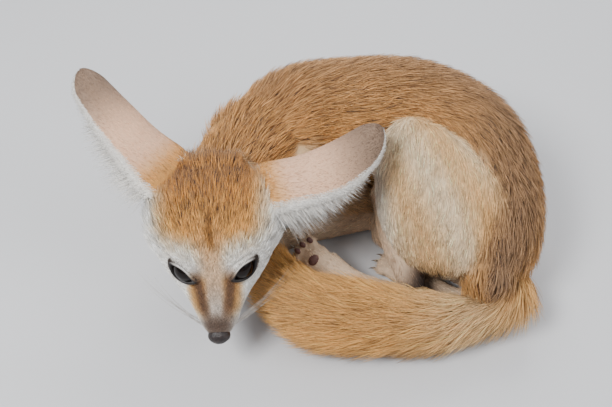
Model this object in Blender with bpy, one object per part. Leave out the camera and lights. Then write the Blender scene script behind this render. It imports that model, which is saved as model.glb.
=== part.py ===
"""A fennec fox, life size, curled up on its belly with the head low and the tail drawn round in front.

Metres, +Z up, floor at z = 0. The spine arcs round the far side (+Y). The fox's left side faces -Y,
its head lies at -X and looks down toward -Y. Every part of the body is one closed solid, parted
from its neighbours by a thin gap. All the places below share one working frame, and the last step
moves the whole fox so that the origin is the middle of its base.
"""
import math
import random

import bmesh
import bpy
import numpy as np
from mathutils import Vector

# Gaps, floor and mesh fineness
GAP = 0.00035
FLOOR_DEPTH = 0.2
SPAN_STEPS = 2
CAP_RINGS = 2
# The exact solver leaves open edges where many round pieces meet at shallow angles
SOLVER = "MANIFOLD"

# Locks of long hair
LOCK_TAPER = 1.7
LOCK_THICKNESS = 0.0022
LOCK_SHARES = (0.0, 0.4, 0.75, 1.0)
LOCK_BEND = 0.0020
CHEEK_SEED = 5
CHEEK_LOCKS = 7
CHEEK_START = 0.0560
CHEEK_STEP = 0.0052
CHEEK_ANGLES = (-6, -36, 14, -20)
CHEEK_LEAN = (0.55, 0.85)
CHEEK_SINK = 0.0024
CHEEK_LENGTH = 0.0180
CHEEK_WIDTH = 0.0150
FRINGE_SEED = 8
FRINGE_LOCKS = 6
FRINGE_SPAN = (0.02, 0.64)
FRINGE_ACROSS = (0.70, 0.90)
FRINGE_STRIP = 0.0018
FRINGE_LENGTH = 0.0265
FRINGE_WIDTH = 0.0125
FRINGE_BOW = 0.0035
NAPE_SEED = 3
NAPE_ROWS = 3
NAPE_ANGLES = (30, 75, 120)
NAPE_LENGTH = 0.0230
NAPE_WIDTH = 0.0190
NAPE_SINK = 0.0030
NAPE_LIFT = 0.30
TAIL_SEED = 11
TAIL_SKIN = 0.0080
TAIL_FIRST_ROW = 0.012
TAIL_ROW_STEP = 0.0280
TAIL_LAST_GAP = 0.014
TAIL_LOCKS_AROUND = 6
TAIL_FULL_GIRTH = 0.0250
TAIL_LOCK_LENGTH = 0.0500
TAIL_LOCK_WIDTH = 0.0270

# Head, measured back from the nose tip along the skull
NOSE_TIP = Vector((-0.0519, -0.1012, 0.0319))
HEAD_BACK = Vector((-0.05, 0.78, 0.62)).normalized()
HEAD_UP = Vector((-0.02, -0.62, 0.785))
HEAD_SIDES = 24
EYE_BACK = 0.0435
EYE_SIDE = 0.0176
EYE_RISE = 0.0125
EYE_RADIUS = 0.0088
LID_THICKNESS = 0.0014
LID_LENGTH = 0.0185
LID_OPENING = 0.0100
MOUTH_DEPTH = 0.0011
# Across, back and up from the nose tip, from the middle of the lips to one corner
MOUTH_LINE = [
    (0.0000, 0.0020, -0.0052),
    (0.0066, 0.0060, -0.0064),
    (0.0112, 0.0130, -0.0076),
    (0.0150, 0.0210, -0.0088),
    (0.0188, 0.0290, -0.0096),
    (0.0216, 0.0340, -0.0086),
]

# Distance back, half width, rise above and drop below the skull's axis
HEAD_PROFILE = [
    (0.0020, 0.0058, 0.0050, 0.0056),
    (0.0060, 0.0084, 0.0072, 0.0088),
    (0.0130, 0.0124, 0.0086, 0.0118),
    (0.0210, 0.0160, 0.0096, 0.0138),
    (0.0285, 0.0202, 0.0112, 0.0156),
    (0.0360, 0.0256, 0.0146, 0.0174),
    (0.0440, 0.0308, 0.0196, 0.0192),
    (0.0520, 0.0348, 0.0240, 0.0212),
    (0.0600, 0.0380, 0.0268, 0.0230),
    (0.0700, 0.0402, 0.0280, 0.0242),
    (0.0800, 0.0398, 0.0272, 0.0242),
    (0.0900, 0.0358, 0.0240, 0.0226),
    (0.0990, 0.0276, 0.0190, 0.0190),
]

# Ears: base, tip, the way the cup opens at the base, and how the cup turns on its way to the tip
EARS = {
    "right_ear": dict(base=(-0.0815, -0.0190, 0.0860), tip=(-0.1345, 0.0198, 0.1400),
                      opens=(-0.768, -0.490, -0.411), twist=(4.0, -32.0), bow=0.004,
                      fringe_side=-1, rim=[
                          (0.00, 0.0155), (0.15, 0.0135), (0.35, 0.0080), (0.55, 0.0048), (0.75, 0.0035),
                          (0.90, 0.0035), (1.00, 0.0020)]),
    "left_ear": dict(base=(-0.0265, -0.0250, 0.0800), tip=(0.0456, -0.0038, 0.1150),
                     opens=(0.444, -0.686, -0.576), twist=(10.0, -52.0), bow=0.006,
                     fringe_side=1, rim=[
                         (0.00, 0.0150), (0.15, 0.0146), (0.35, 0.0127), (0.55, 0.0108), (0.75, 0.0080),
                         (0.90, 0.0056), (1.00, 0.0024)]),
}
EAR_TOWARD_VIEW = Vector((0.0, -0.643, 0.766))
EAR_WALL = 0.0016
EAR_ROWS = 12
EAR_COLUMNS = 10
# Share of the length, how far the back of the cup lies behind its axis, half opening
EAR_PROFILE = [
    (0.00, 0.0184, 0.0200),
    (0.15, 0.0182, 0.0240),
    (0.35, 0.0158, 0.0260),
    (0.55, 0.0138, 0.0240),
    (0.75, 0.0108, 0.0190),
    (0.90, 0.0078, 0.0140),
    (0.97, 0.0054, 0.0100),
    (1.00, 0.0030, 0.0060),
]

# Centre, half width and half height of each station
NECK = [
    (-0.028, 0.036, 0.058, 0.033, 0.035),
    (-0.045, 0.005, 0.066, 0.030, 0.032),
    (-0.054, -0.022, 0.073, 0.029, 0.028),
]
TORSO = [
    (-0.036, 0.035, 0.054, 0.036, 0.040),
    (-0.010, 0.052, 0.051, 0.043, 0.054),
    (0.028, 0.062, 0.050, 0.047, 0.054),
    (0.073, 0.059, 0.051, 0.046, 0.055),
    (0.108, 0.038, 0.050, 0.042, 0.052),
    (0.119, 0.001, 0.044, 0.040, 0.047),
    (0.121, -0.032, 0.037, 0.033, 0.040),
    (0.118, -0.052, 0.032, 0.022, 0.026),
]
# Each cut across the torso: a point on it and the way along the spine there
TORSO_CUTS = [
    ((0.010, 0.058, 0.05), (1.0, 0.25, 0.0)),
    ((0.088, 0.048, 0.05), (0.80, -0.60, 0.0)),
]

# Haunches: a flat rounded form, its outline given as angle from its right and radius there
HAUNCHES = {
    "left_thigh": dict(centre=(0.0900, -0.0190, 0.0620), faces=(-0.16, -0.60, 0.78), thickness=0.0245, outline=[
        (0, 0.045), (45, 0.040), (75, 0.044), (100, 0.056), (116, 0.066), (138, 0.060), (165, 0.050),
        (200, 0.046), (235, 0.047), (270, 0.048), (315, 0.047)]),
    "right_thigh": dict(centre=(0.1080, -0.0050, 0.0220), faces=(0.3, 0.2, 1.0), thickness=0.0230, outline=[
        (0, 0.036), (60, 0.034), (120, 0.036), (180, 0.038), (240, 0.036), (300, 0.036)]),
}

LIMBS = {
    "left_shank": dict(up=(-0.2, -0.6, 0.75), sides=10, stations=[
        (0.0600, 0.0000, 0.0500, 0.0180, 0.0150),
        (0.0625, -0.0240, 0.0370, 0.0160, 0.0135),
        (0.0670, -0.0440, 0.0260, 0.0120, 0.0110),
        (0.0680, -0.0560, 0.0210, 0.0100, 0.0100),
    ]),
    "left_hind_foot": dict(up=(0.1, -0.5, 0.85), sides=10, stations=[
        (0.0660, -0.0560, 0.0130, 0.0085, 0.0080),
        (0.0480, -0.0500, 0.0110, 0.0080, 0.0075),
        (0.0300, -0.0430, 0.0120, 0.0090, 0.0075),
        (0.0150, -0.0350, 0.0150, 0.0120, 0.0080),
    ]),
    "right_shank": dict(up=(0, 0, 1), sides=10, stations=[
        (0.0560, -0.0050, 0.0170, 0.0125, 0.0160),
        (0.0760, -0.0180, 0.0140, 0.0110, 0.0130),
        (0.1040, -0.0360, 0.0110, 0.0095, 0.0110),
        (0.1200, -0.0460, 0.0090, 0.0085, 0.0095),
    ]),
    "right_hind_foot": dict(up=(0, 0, 1), sides=10, stations=[
        (0.1200, -0.0560, 0.0075, 0.0085, 0.0080),
        (0.0980, -0.0530, 0.0065, 0.0085, 0.0070),
        (0.0760, -0.0400, 0.0065, 0.0100, 0.0075),
    ]),
    "left_upper_arm": dict(up=(0, 0, 1), sides=10, stations=[
        (-0.0080, 0.0240, 0.0560, 0.0210, 0.0260),
        (0.0160, 0.0160, 0.0380, 0.0180, 0.0240),
        (0.0430, 0.0130, 0.0220, 0.0120, 0.0160),
    ]),
    "left_forearm": dict(up=(0, 0, 1), sides=10, stations=[
        (0.0470, 0.0110, 0.0160, 0.0120, 0.0130),
        (0.0280, 0.0055, 0.0140, 0.0105, 0.0115),
        (0.0060, -0.0010, 0.0120, 0.0090, 0.0100),
        (-0.0120, -0.0070, 0.0105, 0.0085, 0.0095),
    ]),
    "left_forepaw": dict(up=(0, 0, 1), sides=10, stations=[
        (-0.0170, -0.0090, 0.0090, 0.0090, 0.0090),
        (-0.0300, -0.0130, 0.0085, 0.0115, 0.0085),
        (-0.0400, -0.0160, 0.0075, 0.0110, 0.0075),
    ]),
    "right_upper_arm": dict(up=(0, 0, 1), sides=10, stations=[
        (-0.0300, 0.0620, 0.0460, 0.0180, 0.0240),
        (-0.0160, 0.0780, 0.0320, 0.0160, 0.0220),
        (-0.0020, 0.0870, 0.0180, 0.0120, 0.0150),
    ]),
    "right_forearm": dict(up=(0, 0, 1), sides=10, stations=[
        (-0.0060, 0.0840, 0.0120, 0.0115, 0.0120),
        (-0.0300, 0.0640, 0.0100, 0.0100, 0.0105),
        (-0.0520, 0.0440, 0.0090, 0.0085, 0.0095),
    ]),
    "right_forepaw": dict(up=(0, 0, 1), sides=10, stations=[
        (-0.0570, 0.0400, 0.0085, 0.0090, 0.0085),
        (-0.0680, 0.0300, 0.0085, 0.0115, 0.0085),
        (-0.0750, 0.0230, 0.0075, 0.0110, 0.0075),
    ]),
}

# Toe tips of each paw: the palm's centre, the way the toes point, the way the paw's back faces
PAWS = {
    "left_hind_foot": dict(palm=(0.0070, -0.0310, 0.0180), toes=(-0.72, 0.52, 0.30), back=(0.25, 0.60, -0.70)),
    "right_hind_foot": dict(palm=(0.0640, -0.0310, 0.0070), toes=(-0.80, 0.55, 0.0), back=(0, 0, 1)),
    "left_forepaw": dict(palm=(-0.0440, -0.0180, 0.0080), toes=(-0.93, -0.36, 0.0), back=(0, 0, 1)),
    "right_forepaw": dict(palm=(-0.0770, 0.0210, 0.0080), toes=(-0.75, -0.66, 0.0), back=(0, 0, 1)),
}

TAIL = [
    (0.1330, -0.0500, 0.0290, 0.0110, 0.0110),
    (0.1300, -0.0610, 0.0250, 0.0115, 0.0120),
    (0.1170, -0.0675, 0.0210, 0.0125, 0.0140),
    (0.0999, -0.0745, 0.0190, 0.0145, 0.0165),
    (0.0805, -0.0789, 0.0190, 0.0175, 0.0190),
    (0.0609, -0.0795, 0.0205, 0.0205, 0.0215),
    (0.0350, -0.0792, 0.0235, 0.0250, 0.0245),
    (0.0119, -0.0755, 0.0240, 0.0250, 0.0250),
    (-0.0058, -0.0640, 0.0220, 0.0205, 0.0230),
    (-0.0184, -0.0470, 0.0180, 0.0145, 0.0180),
    (-0.0250, -0.0330, 0.0130, 0.0075, 0.0110),
]
TAIL_CUTS = [
    ((0.0700, -0.0793, 0.02), (-1.0, 0.0, 0.0)),
    ((0.0060, -0.0735, 0.02), (-0.82, 0.57, 0.0)),
]
FRINGES = {"left_ear_fringe": "left_ear", "right_ear_fringe": "right_ear"}
DIVIDED = {
    "torso": (["chest", "loin", "rump"], TORSO_CUTS),
    "tail": (["tail_base", "tail_middle", "tail_tip"], TAIL_CUTS),
}

COAT_COLOURS = {
    "back": (0.62, 0.40, 0.21),
    "pale": (0.80, 0.70, 0.54),
    "tail": (0.64, 0.44, 0.23),
    "eye": (0.02, 0.012, 0.008),
    "nose": (0.05, 0.03, 0.028),
}


def clear_scene():
    """Remove whatever objects the file starts with."""
    for item in list(bpy.data.objects):
        bpy.data.objects.remove(item, do_unlink=True)


def coat_material(name):
    """One soft or glossy finish in a coat colour."""
    material = bpy.data.materials.get(name) or bpy.data.materials.new(name)
    material.use_nodes = True
    shader = material.node_tree.nodes["Principled BSDF"]
    shader.inputs["Base Color"].default_value = (*COAT_COLOURS[name], 1.0)
    shader.inputs["Roughness"].default_value = 0.15 if name in ("eye", "nose") else 0.8
    shader.inputs["Metallic"].default_value = 0.0
    return material


def make_object(name, vertices, faces, finish="back"):
    """A mesh object with outward faces."""
    mesh = bpy.data.meshes.new(name)
    mesh.from_pydata([tuple(v) for v in vertices], [], faces)
    build = bmesh.new()
    build.from_mesh(mesh)
    bmesh.ops.recalc_face_normals(build, faces=build.faces)
    bmesh.ops.triangulate(build, faces=build.faces)
    build.to_mesh(mesh)
    build.free()
    mesh.materials.append(coat_material(finish))
    made = bpy.data.objects.new(name, mesh)
    bpy.context.scene.collection.objects.link(made)
    return made


def smooth_stations(stations, steps):
    """Catmull-Rom curve through rows of numbers, with a few rows between each pair."""
    rows = np.array(stations, dtype=float)
    padded = np.vstack([2 * rows[0] - rows[1], rows, 2 * rows[-1] - rows[-2]])
    out = []
    for i in range(1, len(padded) - 2):
        a, b, c, d = padded[i - 1:i + 3]
        for k in range(steps):
            t = k / steps
            out.append(0.5 * (2 * b + (c - a) * t + (2 * a - 5 * b + 4 * c - d) * t * t
                              + (3 * b - a - 3 * c + d) * t ** 3))
    out.append(rows[-1])
    return np.array(out)


def rounded_tube(name, stations, up=(0, 0, 1), sides=20, steps=SPAN_STEPS, grow=0.0, finish="back"):
    """A tube of oval sections along a smooth path, closed by round ends."""
    rows = smooth_stations(stations, steps)
    centres = rows[:, :3]
    width = rows[:, 3] + grow
    height = rows[:, 4] + grow
    tangents = np.gradient(centres, axis=0)
    tangents /= np.linalg.norm(tangents, axis=1)[:, None]
    ahead = np.array(up, dtype=float)
    side = np.cross(tangents, ahead)
    side /= np.linalg.norm(side, axis=1)[:, None]
    rise = np.cross(side, tangents)
    angles = np.linspace(0, 2 * math.pi, sides, endpoint=False)

    def ring(row, shrink, shift):
        centre = centres[row] + tangents[row] * shift
        across = side[row][None, :] * (np.cos(angles) * width[row] * shrink)[:, None]
        upward = rise[row][None, :] * (np.sin(angles) * height[row] * shrink)[:, None]
        return centre[None, :] + across + upward

    rings = []
    reach = min(width[0], height[0])
    for k in range(CAP_RINGS, 0, -1):
        turn = 0.5 * math.pi * k / (CAP_RINGS + 1)
        rings.append(ring(0, math.cos(turn), -math.sin(turn) * reach))
    rings += [ring(row, 1.0, 0.0) for row in range(len(rows))]
    last = len(rows) - 1
    reach_end = min(width[last], height[last])
    for k in range(1, CAP_RINGS + 1):
        turn = 0.5 * math.pi * k / (CAP_RINGS + 1)
        rings.append(ring(last, math.cos(turn), math.sin(turn) * reach_end))
    vertices = list(np.vstack(rings))
    vertices.append(centres[0] - tangents[0] * reach)
    vertices.append(centres[last] + tangents[last] * reach_end)
    return make_object(name, vertices, tube_faces(len(rings), sides), finish)


def tube_faces(ring_count, sides):
    """Faces between rings, and a fan to the pole vertex at each end."""
    faces = []
    for r in range(ring_count - 1):
        for s in range(sides):
            n = (s + 1) % sides
            faces.append((r * sides + s, r * sides + n, (r + 1) * sides + n))
            faces.append((r * sides + s, (r + 1) * sides + n, (r + 1) * sides + s))
    start = ring_count * sides
    for s in range(sides):
        n = (s + 1) % sides
        faces.append((start, n, s))
        faces.append((start + 1, (ring_count - 1) * sides + s, (ring_count - 1) * sides + n))
    return faces


def ellipsoid(name, centre, axes, radii, rings=8, sides=12, finish="back"):
    """A ball stretched along three given directions."""
    u, v, w = [np.array(Vector(axis).normalized()) for axis in axes]
    centre = np.array(centre)
    vertices = []
    for r in range(1, rings):
        polar = math.pi * r / rings
        for s in range(sides):
            turn = 2 * math.pi * s / sides
            vertices.append(centre + u * radii[0] * math.sin(polar) * math.cos(turn)
                            + v * radii[1] * math.sin(polar) * math.sin(turn)
                            + w * radii[2] * math.cos(polar))
    vertices.append(centre + w * radii[2])
    vertices.append(centre - w * radii[2])
    return make_object(name, vertices, tube_faces(rings - 1, sides), finish)


def flat_form(name, spec, grow=0.0, rings=7, sides=20, finish="pale"):
    """A rounded form like a flat stone: an outline in its plane, thickest in the middle."""
    normal = Vector(spec["faces"]).normalized()
    right = Vector((1, 0, 0))
    right = (right - right.dot(normal) * normal).normalized()
    above = normal.cross(right)
    corners = [(angle - 360, radius) for angle, radius in spec["outline"]]
    corners += spec["outline"] + [(angle + 360, radius) for angle, radius in spec["outline"]]
    outline = smooth_stations(corners, 4)
    vertices = []
    for r in range(1, rings):
        polar = math.pi * r / rings
        for s in range(sides):
            turn = 2 * math.pi * s / sides
            radius = float(np.interp(math.degrees(turn), outline[:, 0], outline[:, 1])) + grow
            spread = radius * math.sin(polar)
            lift = (spec["thickness"] + grow) * math.cos(polar)
            vertices.append(Vector(spec["centre"]) + right * spread * math.cos(turn)
                            + above * spread * math.sin(turn) + normal * lift)
    vertices.append(Vector(spec["centre"]) + normal * (spec["thickness"] + grow))
    vertices.append(Vector(spec["centre"]) - normal * (spec["thickness"] + grow))
    return make_object(name, vertices, tube_faces(rings - 1, sides), finish)


def block(name, centre, size, x_axis=(1, 0, 0), y_axis=(0, 1, 0)):
    """A plain box used as a cutter."""
    u = Vector(x_axis).normalized()
    v = (Vector(y_axis) - Vector(y_axis).dot(u) * u).normalized()
    w = u.cross(v)
    corners = []
    for k in (-0.5, 0.5):
        for j in (-0.5, 0.5):
            for i in (-0.5, 0.5):
                corners.append(Vector(centre) + u * size[0] * i + v * size[1] * j + w * size[2] * k)
    faces = [(0, 1, 3, 2), (4, 6, 7, 5), (0, 4, 5, 1), (2, 3, 7, 6), (0, 2, 6, 4), (1, 5, 7, 3)]
    return make_object(name, corners, faces)


def keep_largest(target):
    """Drop every closed surface of a mesh but the largest."""
    build = bmesh.new()
    build.from_mesh(target.data)
    left = set(build.verts)
    shells = []
    while left:
        start = left.pop()
        shell = {start}
        stack = [start]
        while stack:
            vertex = stack.pop()
            for edge in vertex.link_edges:
                other = edge.other_vert(vertex)
                if other not in shell:
                    shell.add(other)
                    stack.append(other)
        left -= shell
        shells.append(shell)
    shells.sort(key=shell_extent, reverse=True)
    scraps = [vertex for shell in shells[1:] for vertex in shell]
    bmesh.ops.delete(build, geom=scraps, context="VERTS")
    build.to_mesh(target.data)
    build.free()


def shell_extent(shell):
    """The diagonal of a surface's box."""
    places = np.array([vertex.co for vertex in shell])
    return float(np.linalg.norm(places.max(axis=0) - places.min(axis=0)))


def apply_boolean(target, operation, cutter=None, collection=None):
    """Apply one Boolean modifier and read the result back into the mesh."""
    modifier = target.modifiers.new("boolean", "BOOLEAN")
    modifier.operation = operation
    modifier.solver = SOLVER
    if collection is None:
        modifier.object = cutter
    else:
        modifier.operand_type = "COLLECTION"
        modifier.collection = collection
    bpy.context.view_layer.update()
    graph = bpy.context.evaluated_depsgraph_get()
    result = bpy.data.meshes.new_from_object(target.evaluated_get(graph))
    target.modifiers.clear()
    old = target.data
    target.data = result
    bpy.data.meshes.remove(old)


def remove_object(item):
    """Take an object out of the file."""
    bpy.data.objects.remove(item, do_unlink=True)


def unite(target, pieces):
    """Fuse pieces into one closed body."""
    if not pieces:
        return target
    group = bpy.data.collections.new("pieces")
    bpy.context.scene.collection.children.link(group)
    for piece in pieces:
        group.objects.link(piece)
    apply_boolean(target, "UNION", collection=group)
    for piece in pieces:
        remove_object(piece)
    bpy.data.collections.remove(group)
    keep_largest(target)
    return target


def cut(target, cutter, drop=True):
    """Cut one solid away from another."""
    apply_boolean(target, "DIFFERENCE", cutter=cutter)
    if drop:
        remove_object(cutter)
    keep_largest(target)
    return target


def head_place(side, back, rise):
    """A point given from the nose tip: to the fox's left, back along the skull, and up."""
    up = (HEAD_UP - HEAD_UP.dot(HEAD_BACK) * HEAD_BACK).normalized()
    left = up.cross(HEAD_BACK) * -1.0
    if left.x < 0:
        left = -left
    return NOSE_TIP + left * side + HEAD_BACK * back + up * rise


def head_direction(side, back, rise):
    """A direction in the head's own axes."""
    return (head_place(side, back, rise) - NOSE_TIP).normalized()


def bump(x, y, centre_x, centre_y, spread):
    """A smooth round hill of height one."""
    return math.exp(-((x - centre_x) ** 2 + (y - centre_y) ** 2) / (2 * spread ** 2))


def head_surface_point(back, angle, width, top, bottom):
    """A point of the skull and cheeks: an oval section with brow, cheeks and whisker pads raised."""
    flat = 0.92
    side = width * math.copysign(abs(math.cos(angle)) ** flat, math.cos(angle))
    rise = (top if math.sin(angle) > 0 else bottom) * math.sin(angle)
    swell = 0.0012 * bump(back, rise, 0.0100, -0.0040, 0.0045)
    swell += 0.0016 * bump(back, rise, 0.0640, -0.0060, 0.0120)
    side += math.copysign(swell, math.cos(angle)) * min(1.0, 2.5 * abs(math.cos(angle)))
    if rise > 0:
        rise += 0.0020 * bump(back, abs(side), 0.0500, 0.0130, 0.0065)
        rise -= 0.0012 * bump(back, side, 0.0400, 0.0, 0.0060)
    return side, rise


def build_head(name, grow=0.0):
    """The skull from the muzzle to the nape, without eyes and nose."""
    profile = smooth_stations(HEAD_PROFILE, SPAN_STEPS)
    vertices = []
    for row in profile:
        back, width, top, bottom = row
        for s in range(HEAD_SIDES):
            angle = 2 * math.pi * s / HEAD_SIDES
            side, rise = head_surface_point(back, angle, width + grow, top + grow, bottom + grow)
            vertices.append(head_place(side, back, rise))
    front = profile[0]
    rear = profile[-1]
    cap = []
    for k in range(1, 4):
        turn = 0.5 * math.pi * k / 4
        for s in range(HEAD_SIDES):
            angle = 2 * math.pi * s / HEAD_SIDES
            side, rise = head_surface_point(rear[0], angle, rear[1] + grow, rear[2] + grow, rear[3] + grow)
            shift = rear[0] + math.sin(turn) * (0.012 + grow)
            cap.append(head_place(side * math.cos(turn), shift, rise * math.cos(turn)))
    vertices += cap
    vertices.append(head_place(0, front[0] - 0.0022 - grow, 0))
    vertices.append(head_place(0, rear[0] + 0.012 + grow, 0))
    return make_object(name, vertices, tube_faces(len(profile) + 3, HEAD_SIDES), "pale")


def eye_centre(side):
    """The middle of an eyeball; side is +1 on the fox's left."""
    return head_place(side * EYE_SIDE, EYE_BACK, EYE_RISE) - eye_normal(side) * (EYE_RADIUS - 0.0046)


def eye_normal(side):
    """The way an eye looks out."""
    return head_direction(side * 0.50, -0.56, 0.66)


def build_eye(side, name, grow=0.0):
    """A whole eyeball."""
    normal = eye_normal(side)
    along = eye_slant(side)
    return ellipsoid(name, eye_centre(side), (along, normal.cross(along), normal),
                     (EYE_RADIUS + grow,) * 3, rings=8, sides=14, finish="eye")


def eye_slant(side):
    """The line from the inner to the outer corner of an eye."""
    line = head_place(side * 0.0263, 0.0515, 0.0) - head_place(side * 0.0094, 0.0376, 0.0)
    normal = eye_normal(side)
    return (line - line.dot(normal) * normal).normalized()


def build_lid_mound(side, name):
    """The swelling of the lids over the eyeball."""
    normal = eye_normal(side)
    along = eye_slant(side)
    radius = EYE_RADIUS + LID_THICKNESS
    return ellipsoid(name, eye_centre(side), (along, normal.cross(along), normal),
                     (radius * 1.12, radius, radius), rings=7, sides=12, finish="pale")


def build_lid_opening(side, name):
    """An almond-shaped prism that opens the lids."""
    normal = eye_normal(side)
    along = eye_slant(side)
    across = normal.cross(along)
    count = 9
    outline = []
    for k in range(count):
        t = -1 + 2 * k / (count - 1)
        outline.append((t * 0.5 * LID_LENGTH, 0.5 * LID_OPENING * (1 - t * t)))
    for k in range(count - 2, 0, -1):
        t = -1 + 2 * k / (count - 1)
        outline.append((t * 0.5 * LID_LENGTH, -0.5 * LID_OPENING * (1 - t * t)))
    centre = eye_centre(side)
    near = centre + normal * (EYE_RADIUS * 0.30)
    far = centre + normal * (EYE_RADIUS * 2.0)
    vertices = [near + along * a + across * b for a, b in outline]
    vertices += [far + along * a + across * b for a, b in outline]
    total = len(outline)
    faces = [tuple(range(total - 1, -1, -1)), tuple(range(total, 2 * total))]
    faces += [(k, (k + 1) % total, total + (k + 1) % total, total + k) for k in range(total)]
    return make_object(name, vertices, faces)


def build_nose(name, grow=0.0):
    """The bare nose pad, wider than high."""
    up = head_direction(0, 0, 1)
    left = head_direction(1, 0, 0)
    return ellipsoid(name, head_place(0, 0.0034, 0.0012), (left, up, HEAD_BACK),
                     (0.0066 + grow, 0.0050 + grow, 0.0052 + grow), rings=6, sides=10, finish="nose")


def build_nostril(side, name):
    """The opening of one nostril, curling outward."""
    left = head_direction(1, 0, 0)
    up = head_direction(0, 0, 1)
    centre = head_place(side * 0.0031, -0.0010, 0.0010)
    return ellipsoid(name, centre, (left, up, HEAD_BACK), (0.0017, 0.0012, 0.0022), rings=5, sides=6)


def mouth_groove(name):
    """One thin tube laid along the line of the lips, from corner to corner round the front."""
    half = [(across, back, drop) for across, back, drop in MOUTH_LINE]
    points = [(-across, back, drop) for across, back, drop in reversed(half[1:])] + half
    rows = [(*head_place(*point), MOUTH_DEPTH, MOUTH_DEPTH * 0.7) for point in points]
    return rounded_tube(name, rows, up=tuple(head_direction(0, 0, 1)), sides=4, steps=1)


def ear_frame(spec, share):
    """The cup's axis, opening and side directions at a share of the ear's length."""
    base = Vector(spec["base"])
    tip = Vector(spec["tip"])
    axis = (tip - base).normalized()
    opens = Vector(spec["opens"])
    opens = (opens - opens.dot(axis) * axis).normalized()
    toward = EAR_TOWARD_VIEW - EAR_TOWARD_VIEW.dot(axis) * axis
    toward = (toward - toward.dot(opens) * opens).normalized()
    start, end = spec["twist"]
    turn = math.radians(start + (end - start) * share ** 1.6)
    opens_here = opens * math.cos(turn) + toward * math.sin(turn)
    return axis, opens_here, axis.cross(opens_here)


def ear_point(spec, share, across, inset):
    """A point of the cup: share runs base to tip, across runs rim to rim, inset goes inward."""
    rows = smooth_stations(EAR_PROFILE, 8)
    ahead = float(np.interp(share, *zip(*spec["rim"])))
    depth = float(np.interp(share, rows[:, 0], rows[:, 1])) + ahead - inset
    half = float(np.interp(share, rows[:, 0], rows[:, 2])) - inset
    axis, opens, side = ear_frame(spec, share)
    base = Vector(spec["base"])
    length = (Vector(spec["tip"]) - base).length
    turn = across * math.radians(93)
    middle = base + axis * length * share + opens * (ahead + spec["bow"] * math.sin(math.pi * share))
    return middle + side * half * math.sin(turn) - opens * depth * math.cos(turn)


def build_ear(name, label, grow=0.0):
    """A cupped shell, with the inner face set in from the outer by the wall."""
    spec = EARS[name]
    rows = EAR_ROWS
    columns = EAR_COLUMNS
    vertices = []
    for inset in (-grow, EAR_WALL + grow):
        for r in range(rows + 1):
            share = r / rows
            thin = inset if inset <= 0 else min(inset, 0.7 * np.interp(share, [0, 1], [0.01, 0.0022]))
            for c in range(columns + 1):
                across = -1 + 2 * c / columns
                vertices.append(ear_point(spec, share, across, thin))
    return make_object(label, vertices, shell_faces(rows, columns), "back")


def lock(name, path, across, outward, width, thickness, grow=0.0, finish="pale"):
    """A flat tapered lock of hair: four-sided sections along a path, drawn out to a point.

    The width narrows as one minus a power of the share of the length, and the section is a flat
    diamond whose two broad faces look outward and inward.
    """
    path = [Vector(point) for point in path]
    last = len(path) - 1
    vertices = []
    for k, point in enumerate(path[:-1]):
        share = k / last
        half = 0.5 * width * (1 - share ** LOCK_TAPER) + grow
        deep = 0.5 * thickness * (1 - 0.5 * share) + grow
        vertices += [point + across * half, point + outward * deep]
        vertices += [point - across * half, point - outward * deep]
    vertices.append(path[0] - (path[1] - path[0]).normalized() * grow - outward * 0.0001)
    vertices.append(path[-1] + (path[-1] - path[-2]).normalized() * grow)
    return make_object(name, vertices, tube_faces(last, 4), finish)


def cheek_locks(grow):
    """The white ruff of each cheek, in overlapping locks that point back and outward."""
    draw = random.Random(CHEEK_SEED)
    locks = []
    for side in (1, -1):
        for k in range(CHEEK_LOCKS):
            back = CHEEK_START + CHEEK_STEP * k
            angle = math.radians(CHEEK_ANGLES[k % len(CHEEK_ANGLES)] + draw.uniform(-5, 5))
            backs, *sizes = zip(*HEAD_PROFILE)
            width, top, bottom = [float(np.interp(back, backs, size)) for size in sizes]
            across, rise = head_surface_point(back, angle, width, top, bottom)
            outward = head_direction(side * math.cos(angle), 0.0, math.sin(angle))
            root = head_place(side * across, back, rise) - outward * CHEEK_SINK
            along = (HEAD_BACK + outward * draw.uniform(*CHEEK_LEAN)).normalized()
            length = CHEEK_LENGTH * draw.uniform(0.85, 1.15)
            path = [root + along * length * t - outward * LOCK_BEND * t * t for t in LOCK_SHARES]
            breadth = along.cross(outward).normalized()
            normal = breadth.cross(along).normalized()
            locks.append(lock("ruff", path, breadth, normal, CHEEK_WIDTH, LOCK_THICKNESS, grow))
    return locks


def nape_locks(grow):
    """The loose scruff behind the ears, in rows of locks that lie back and stand off a little."""
    draw = random.Random(NAPE_SEED)
    rows = smooth_stations(NECK, 4)
    locks = []
    for row in range(NAPE_ROWS):
        place = rows[len(rows) - 2 - 3 * row]
        ahead = Vector(rows[len(rows) - 3 - 3 * row][:3] - place[:3]).normalized()
        side = Vector((0, 0, 1)).cross(ahead).normalized() * -1.0
        rise = ahead.cross(side).normalized()
        if rise.z < 0:
            rise = -rise
        for base_angle in NAPE_ANGLES:
            angle = math.radians(base_angle + 17 * (row % 2) + draw.uniform(-6, 6))
            outward = (-side * math.cos(angle) + rise * math.sin(angle)).normalized()
            root = Vector(place[:3]) - side * (place[3] - NAPE_SINK) * math.cos(angle)
            root += rise * (place[4] - NAPE_SINK) * math.sin(angle)
            along = (ahead + outward * (NAPE_LIFT + draw.uniform(-0.05, 0.1))).normalized()
            length = NAPE_LENGTH * draw.uniform(0.85, 1.1)
            path = [root + along * length * t - outward * LOCK_BEND * t * t for t in LOCK_SHARES]
            breadth = along.cross(outward).normalized()
            normal = breadth.cross(along).normalized()
            locks.append(lock("scruff", path, breadth, normal, NAPE_WIDTH, LOCK_THICKNESS, grow, "back"))
    return locks


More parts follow.
